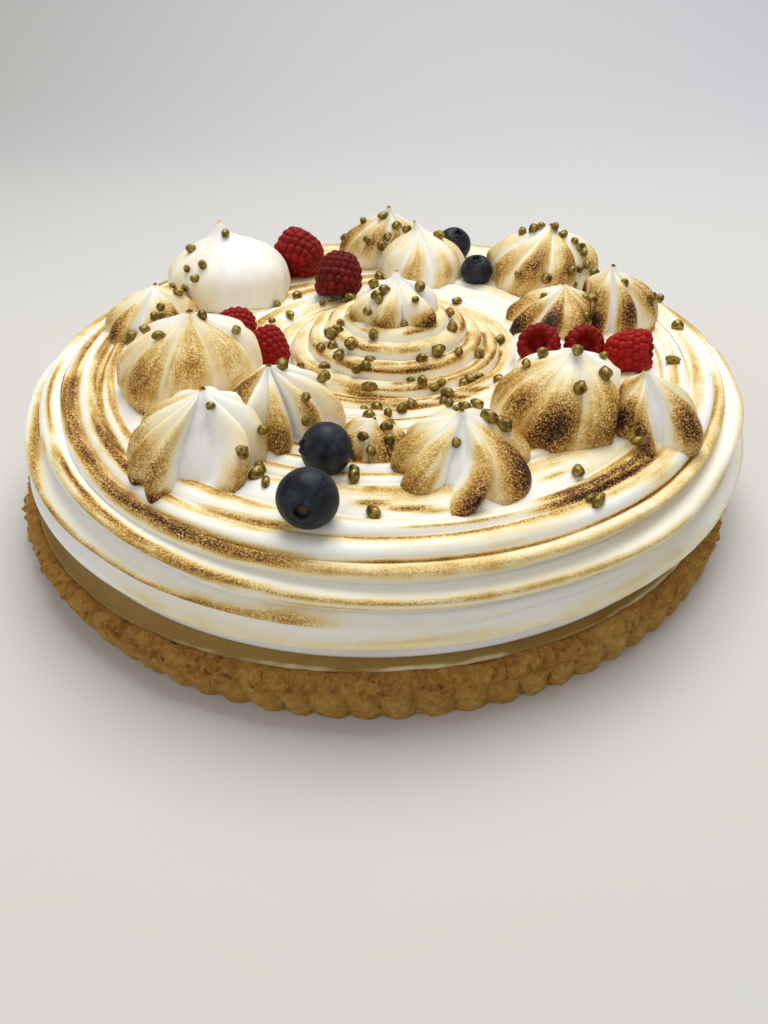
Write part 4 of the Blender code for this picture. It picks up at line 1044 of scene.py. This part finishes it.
# %% The blueberries
Blueberry = namedtuple("Blueberry", "x y radius facing tilt")
BLUEBERRIES = {
    "blueberry_front_left": Blueberry(-12.0, -78.0, 7.2, 200, 20),
    "blueberry_front": Blueberry(-15.5, -100.5, 7.7, 262, 8),
    "blueberry_back": Blueberry(35.5, 79.5, 7.2, 300, 60),
    "blueberry_back_small": Blueberry(42.5, 54.0, 6.3, 250, 70),
}
BERRY_SECTION = SmoothCurve((
    (0.0, -0.90), (0.3, -0.87), (0.62, -0.71), (0.87, -0.42), (0.99, -0.05), (0.96, 0.3), (0.8, 0.6),
    (0.55, 0.8), (0.34, 0.88), (0.27, 0.93), (0.22, 0.89), (0.19, 0.78), (0.1, 0.7), (0.0, 0.69)))
BLUEBERRY_SINK = 0.8


def blueberry_piece(name, berry):
    bm = bmesh.new()
    crown = bm.verts.layers.float.new("crown")
    points = []
    for step in range(49):
        point, _ = BERRY_SECTION.at(BERRY_SECTION.length * step / 48)
        points.append(bm.verts.new((max(point.x, 0.0) * berry.radius, 0.0, point.y * berry.radius)))
    section = points + [bm.edges.new(pair) for pair in zip(points, points[1:])]
    bmesh.ops.spin(bm, geom=section, cent=(0, 0, 0), axis=(0, 0, 1), angle=math.tau, steps=60, use_merge=True)
    for vertex in bm.verts:
        radius = math.hypot(vertex.co.x, vertex.co.y) / berry.radius
        height = vertex.co.z / berry.radius
        if height > 0.6:
            angle = math.atan2(vertex.co.y, vertex.co.x)
            lip = math.exp(-((radius - 0.28) / 0.06) ** 2)
            vertex.co.z += berry.radius * 0.09 * lip * abs(math.sin(2.5 * angle)) * smooth_step(0.75, 0.85, height)
            vertex[crown] = 0.9 * smooth_step(0.2, 0.13, radius)
        vertex.co += vertex.co.normalized() * 0.12 * noise.noise(vertex.co * 0.22 + Vector((berry.x, 0, 0)))
    axis = facing(berry.facing, berry.tilt)
    bmesh.ops.rotate(bm, matrix=Vector((0, 0, 1)).rotation_difference(axis).to_matrix(), verts=bm.verts)
    ground = drop_on(swirl_tree, berry.x, berry.y)[0].z
    lowest = min(vertex.co.z for vertex in bm.verts)
    bmesh.ops.translate(bm, vec=(berry.x, berry.y, ground - lowest - BLUEBERRY_SINK), verts=bm.verts)
    return finish_piece(name.replace("blueberry", "fresh_blueberry"), bm, blueberry_skin, [name])


blueberries = [blueberry_piece(name, berry) for name, berry in BLUEBERRIES.items()]

# %% [markdown]
# ## The photograph's camera
#
# The camera's place was worked out from the round shapes in the photograph: circles of known size on the pie
# show as ellipses, and their shape and size give the distance, the tilt and the lens. With it known, a spot in
# the photograph can be found on the model: a line from the eye through the pixel meets the surface there.

# %% The photograph's camera
CAMERA_PITCH = 37.4          # degrees down
CAMERA_ROLL = -1.65
CAMERA_DISTANCE = 274.95     # mm from the spot it looks at
CAMERA_AIM = (2.6, -31.07, 0.0)
LENS = 27.07                 # mm, on a sensor whose long side is SENSOR
SENSOR = 36.0
PHOTO_WIDTH, PHOTO_HEIGHT = 768, 1024


def camera_axes():
    """The eye in millimetres and the camera's right, up and back directions."""
    pitch, roll = math.radians(CAMERA_PITCH), math.radians(CAMERA_ROLL)
    back = Vector((0.0, -math.cos(pitch), math.sin(pitch)))
    level = Vector((1.0, 0.0, 0.0))
    upright = level.cross(-back)
    right = level * math.cos(roll) + upright * math.sin(roll)
    up = upright * math.cos(roll) - level * math.sin(roll)
    return Vector(CAMERA_AIM) + back * CAMERA_DISTANCE, right, up, back


def seen_at(tree, across, down):
    """The place and normal where the line of sight through a pixel first meets a surface."""
    eye, right, up, back = camera_axes()
    focal = LENS / SENSOR * PHOTO_HEIGHT
    for lower in range(0, 20, 2):
        sight = right * (across - PHOTO_WIDTH / 2) - up * (down + lower - PHOTO_HEIGHT / 2) - back * focal
        place, normal, _, _ = tree.ray_cast(eye * MM, sight.normalized())
        if place is not None:
            return place / MM, normal
    return None, None


print("the eye is at", [round(part) for part in camera_axes()[0]], "mm")

# %% [markdown]
# ## Gold nuggets
#
# The sprinkle is crunchy sugar nuggets rolled in edible gold powder: dull bronze lumps of 3 to 5 mm that stuck
# where they fell. Each is a small ball pushed out of round, sunk a little into what it landed on. Where each one
# lies was read off the photograph, pixel by pixel, and the camera's lines of sight find those places on the
# meringue. All of them are one piece.

# %% The gold nugget finish
def nugget_finish():
    """Sugar lumps dusted with gold powder: a dull, brushed-looking metal colour, with painted shade in the hollows and
    a painted highlight on the bumps.
    """
    material, shader = start_material("gold_dusted_nugget")
    place = add_node(material, "ShaderNodeTexCoord").outputs["Object"]
    dust_and_hollow_shade = add_node(material, "ShaderNodeTexNoise", {"Vector": place, "Scale": 700.0, "Detail": 4.0})
    # one noise gives the powder's uneven tone and the bumps: low spots are painted dark as shade, high spots pale as a
    # painted highlight
    colour = add_node(material, "ShaderNodeValToRGB", {"Fac": dust_and_hollow_shade.outputs["Fac"]}, stops=(
        (0.32, "#473811"), (0.72, "#C6AE5C"), (0.5, "#846D2C")))
    bump = add_node(material, "ShaderNodeBump", {"Height": dust_and_hollow_shade.outputs["Fac"], "Strength": 0.5,
                                                 "Distance": 0.0006})
    links = material.node_tree.links
    links.new(colour.outputs["Color"], shader.inputs["Base Color"])
    links.new(bump.outputs["Normal"], shader.inputs["Normal"])
    shader.inputs["Metallic"].default_value = 0.6
    shader.inputs["Roughness"].default_value = 0.46
    return material


gold_nugget = nugget_finish()

# %% The nuggets
NUGGETS = (                  # across and down in the photograph, in pixels
    (192, 250), (203, 266), (188, 270), (196, 279), (174, 286), (186, 288), (178, 294), (225, 234), (278, 306),
    (290, 317), (273, 322), (201, 316), (162, 308), (154, 317), (162, 317), (147, 331), (130, 336), (160, 337),
    (236, 331), (212, 406), (262, 430), (242, 453), (260, 468), (257, 476), (266, 484), (281, 367), (302, 367),
    (305, 398), (308, 420), (364, 220), (384, 217), (396, 227), (407, 230), (389, 237), (370, 241), (380, 246),
    (346, 238), (438, 237), (462, 269), (493, 269), (419, 288), (415, 301), (379, 278), (375, 286), (384, 291),
    (377, 296), (380, 301), (367, 311), (349, 295), (344, 301), (322, 304), (331, 301), (297, 297), (405, 323),
    (374, 335), (448, 314), (452, 330), (457, 303), (437, 350), (458, 353), (422, 360), (479, 356), (500, 342),
    (340, 325), (338, 331), (333, 335), (335, 345), (352, 345), (322, 349), (340, 357), (371, 359), (366, 366),
    (357, 369), (327, 366), (321, 378), (370, 387), (410, 379), (422, 382), (441, 384), (434, 387), (447, 394),
    (462, 383), (468, 379), (478, 377), (497, 381), (523, 234), (534, 229), (542, 228), (554, 227), (563, 235),
    (574, 242), (580, 248), (583, 253), (519, 275), (548, 279), (571, 271), (579, 269), (586, 265), (592, 272),
    (544, 297), (574, 285), (588, 298), (595, 298), (586, 317), (625, 283), (650, 298), (658, 301), (498, 341),
    (577, 350), (544, 355), (527, 365), (602, 357), (604, 376), (578, 389), (673, 362), (677, 328), (365, 409),
    (377, 408), (369, 417), (388, 414), (402, 411), (407, 407), (411, 405), (386, 427), (362, 437), (388, 441),
    (372, 451), (355, 471), (354, 477), (374, 514), (454, 442), (443, 401), (449, 404), (456, 410), (463, 408),
    (477, 406), (487, 419), (499, 423), (504, 427), (640, 440), (577, 473), (591, 500), (598, 503))
NUGGET_RADIUS = 1.8
NUGGET_RISE = 0.45


def nuggets_piece(tree, draw):
    bm = bmesh.new()
    for across, down in NUGGETS:
        spot, normal = seen_at(tree, across, down)
        size = NUGGET_RADIUS * draw.uniform(0.78, 1.2)
        lump = bmesh.ops.create_uvsphere(bm, u_segments=9, v_segments=6, radius=size)["verts"]
        for vertex in lump:
            vertex.co += vertex.co * 0.3 * noise.noise(vertex.co * 0.55 + Vector((across, down, 0)))
        stretch = (draw.uniform(0.85, 1.4), draw.uniform(0.8, 1.0), draw.uniform(0.75, 1.0))
        bmesh.ops.scale(bm, vec=stretch, verts=lump)
        bmesh.ops.rotate(bm, matrix=Matrix.Rotation(draw.uniform(0, math.tau), 3, "Z"), verts=lump)
        bmesh.ops.translate(bm, vec=spot + normal * size * NUGGET_RISE, verts=lump)
    return finish_piece("gold_nuggets", bm, gold_nugget)


nuggets = nuggets_piece(surface_tree(swirl, *kisses, *raspberries), random.Random(11))

# %% [markdown]
# ## Studio
#
# The pie stands on a plain pale surface that runs back into a pale wall. Most of the light is a wide soft
# lamp over and behind the pie, which makes the top bright and leaves the front side grey, and the world adds an
# even fill. The wall's colour is painted greyer than the floor's, most on the left, as painted shade.

# %% Floor and wall
def studio_finish():
    """Matt painted paper, a little warm, with painted shade: the wall greyer than the floor, most on the left."""
    material, shader = start_material("matt_paper_painted_shade")
    place = add_node(material, "ShaderNodeTexCoord").outputs["Object"]
    split = add_node(material, "ShaderNodeSeparateXYZ", {"Vector": place})
    aside = add_node(material, "ShaderNodeMapRange", {"Value": split.outputs["X"], "From Min": -0.7, "From Max": 0.7,
                                                      "To Min": 0.0, "To Max": 1.0})
    # painted shade: the wall is given a greyer colour than the floor, darker on the left
    far = add_node(material, "ShaderNodeMapRange", {"Value": split.outputs["Y"], "From Min": 0.1, "From Max": 0.5,
                                                    "To Min": 0.0, "To Max": 1.0})
    floor = add_node(material, "ShaderNodeMix", {"Factor": aside.outputs["Result"], "A": linear("#D4D2CC"),
                                                 "B": linear("#D0CECB")}, data_type="RGBA")
    wall_painted_shade = add_node(material, "ShaderNodeMix", {"Factor": aside.outputs["Result"], "A": linear("#B3B6B1"),
                                                "B": linear("#C8C7CE")}, data_type="RGBA")
    colour = add_node(material, "ShaderNodeMix", {"Factor": far.outputs["Result"], "A": floor.outputs["Result"],
                                                  "B": wall_painted_shade.outputs["Result"]}, data_type="RGBA")
    material.node_tree.links.new(colour.outputs["Result"], shader.inputs["Base Color"])
    shader.inputs["Roughness"].default_value = 0.8
    shader.inputs["Specular IOR Level"].default_value = 0.2
    return material


STUDIO_HALF_WIDTH = 2.5
STUDIO_SECTION = ((-1.4, 0.0), (0.55, 0.0), (0.75, 0.03), (0.9, 0.12), (1.0, 0.28), (1.05, 0.5), (1.08, 2.2))


def studio_piece():
    bm = bmesh.new()
    points = [bm.verts.new((-STUDIO_HALF_WIDTH, y, z)) for y, z in STUDIO_SECTION]
    edges = [bm.edges.new(pair) for pair in zip(points, points[1:])]
    grown = bmesh.ops.extrude_edge_only(bm, edges=edges)["geom"]
    corners = [item for item in grown if isinstance(item, bmesh.types.BMVert)]
    bmesh.ops.translate(bm, vec=(2.0 * STUDIO_HALF_WIDTH, 0, 0), verts=corners)
    bmesh.ops.recalc_face_normals(bm, faces=bm.faces)
    for face in bm.faces:
        face.smooth = True
    mesh = bpy.data.meshes.new("studio_sweep")
    bm.to_mesh(mesh)
    bm.free()
    mesh.materials.append(studio_finish())
    sweep = bpy.data.objects.new("studio_sweep", mesh)
    bpy.context.scene.collection.objects.link(sweep)
    bend = sweep.modifiers.new("round", "SUBSURF")
    bend.levels = bend.render_levels = 3
    return sweep


studio = studio_piece()

# %% Lights
def soft_lamp(name, place, aim, size, power, colour):
    """A square area lamp that points at a spot."""
    lamp = bpy.data.lights.new(name, "AREA")
    lamp.shape = "SQUARE"
    lamp.size = size
    lamp.energy = power
    lamp.color = linear(colour)[:3]
    holder = bpy.data.objects.new(name, lamp)
    holder.location = place
    holder.rotation_euler = (Vector(place) - Vector(aim)).to_track_quat("Z", "Y").to_euler()
    bpy.context.scene.collection.objects.link(holder)


soft_lamp("ceiling_lamp", (0.12, 0.4, 1.1), (0, 0, 0), 0.8, 12.4, "#FFFEFB")
soft_lamp("front_fill", (-0.7, -0.9, 0.7), (0, 0, 0.03), 0.8, 2.2, "#FDFDFC")
world = bpy.data.worlds.new("studio_air")
world.use_nodes = True
world.node_tree.nodes["Background"].inputs["Color"].default_value = linear("#F7F8F9")
world.node_tree.nodes["Background"].inputs["Strength"].default_value = 0.45
bpy.context.scene.world = world
bpy.context.scene.view_settings.view_transform = "Standard"

# %% [markdown]
# The picture is taken by the photograph's camera, whose place was given above.

# %% Camera
def photo_camera():
    eye, right, up, back = camera_axes()
    lens = bpy.data.cameras.new("photo_camera")
    lens.lens = LENS
    lens.sensor_fit = "AUTO"
    lens.sensor_width = SENSOR
    lens.clip_start = 0.01
    camera = bpy.data.objects.new("photo_camera", lens)
    turn = Matrix((right, up, back)).transposed().to_4x4()
    camera.matrix_world = Matrix.Translation(eye * MM) @ turn
    bpy.context.scene.collection.objects.link(camera)
    bpy.context.scene.camera = camera


photo_camera()
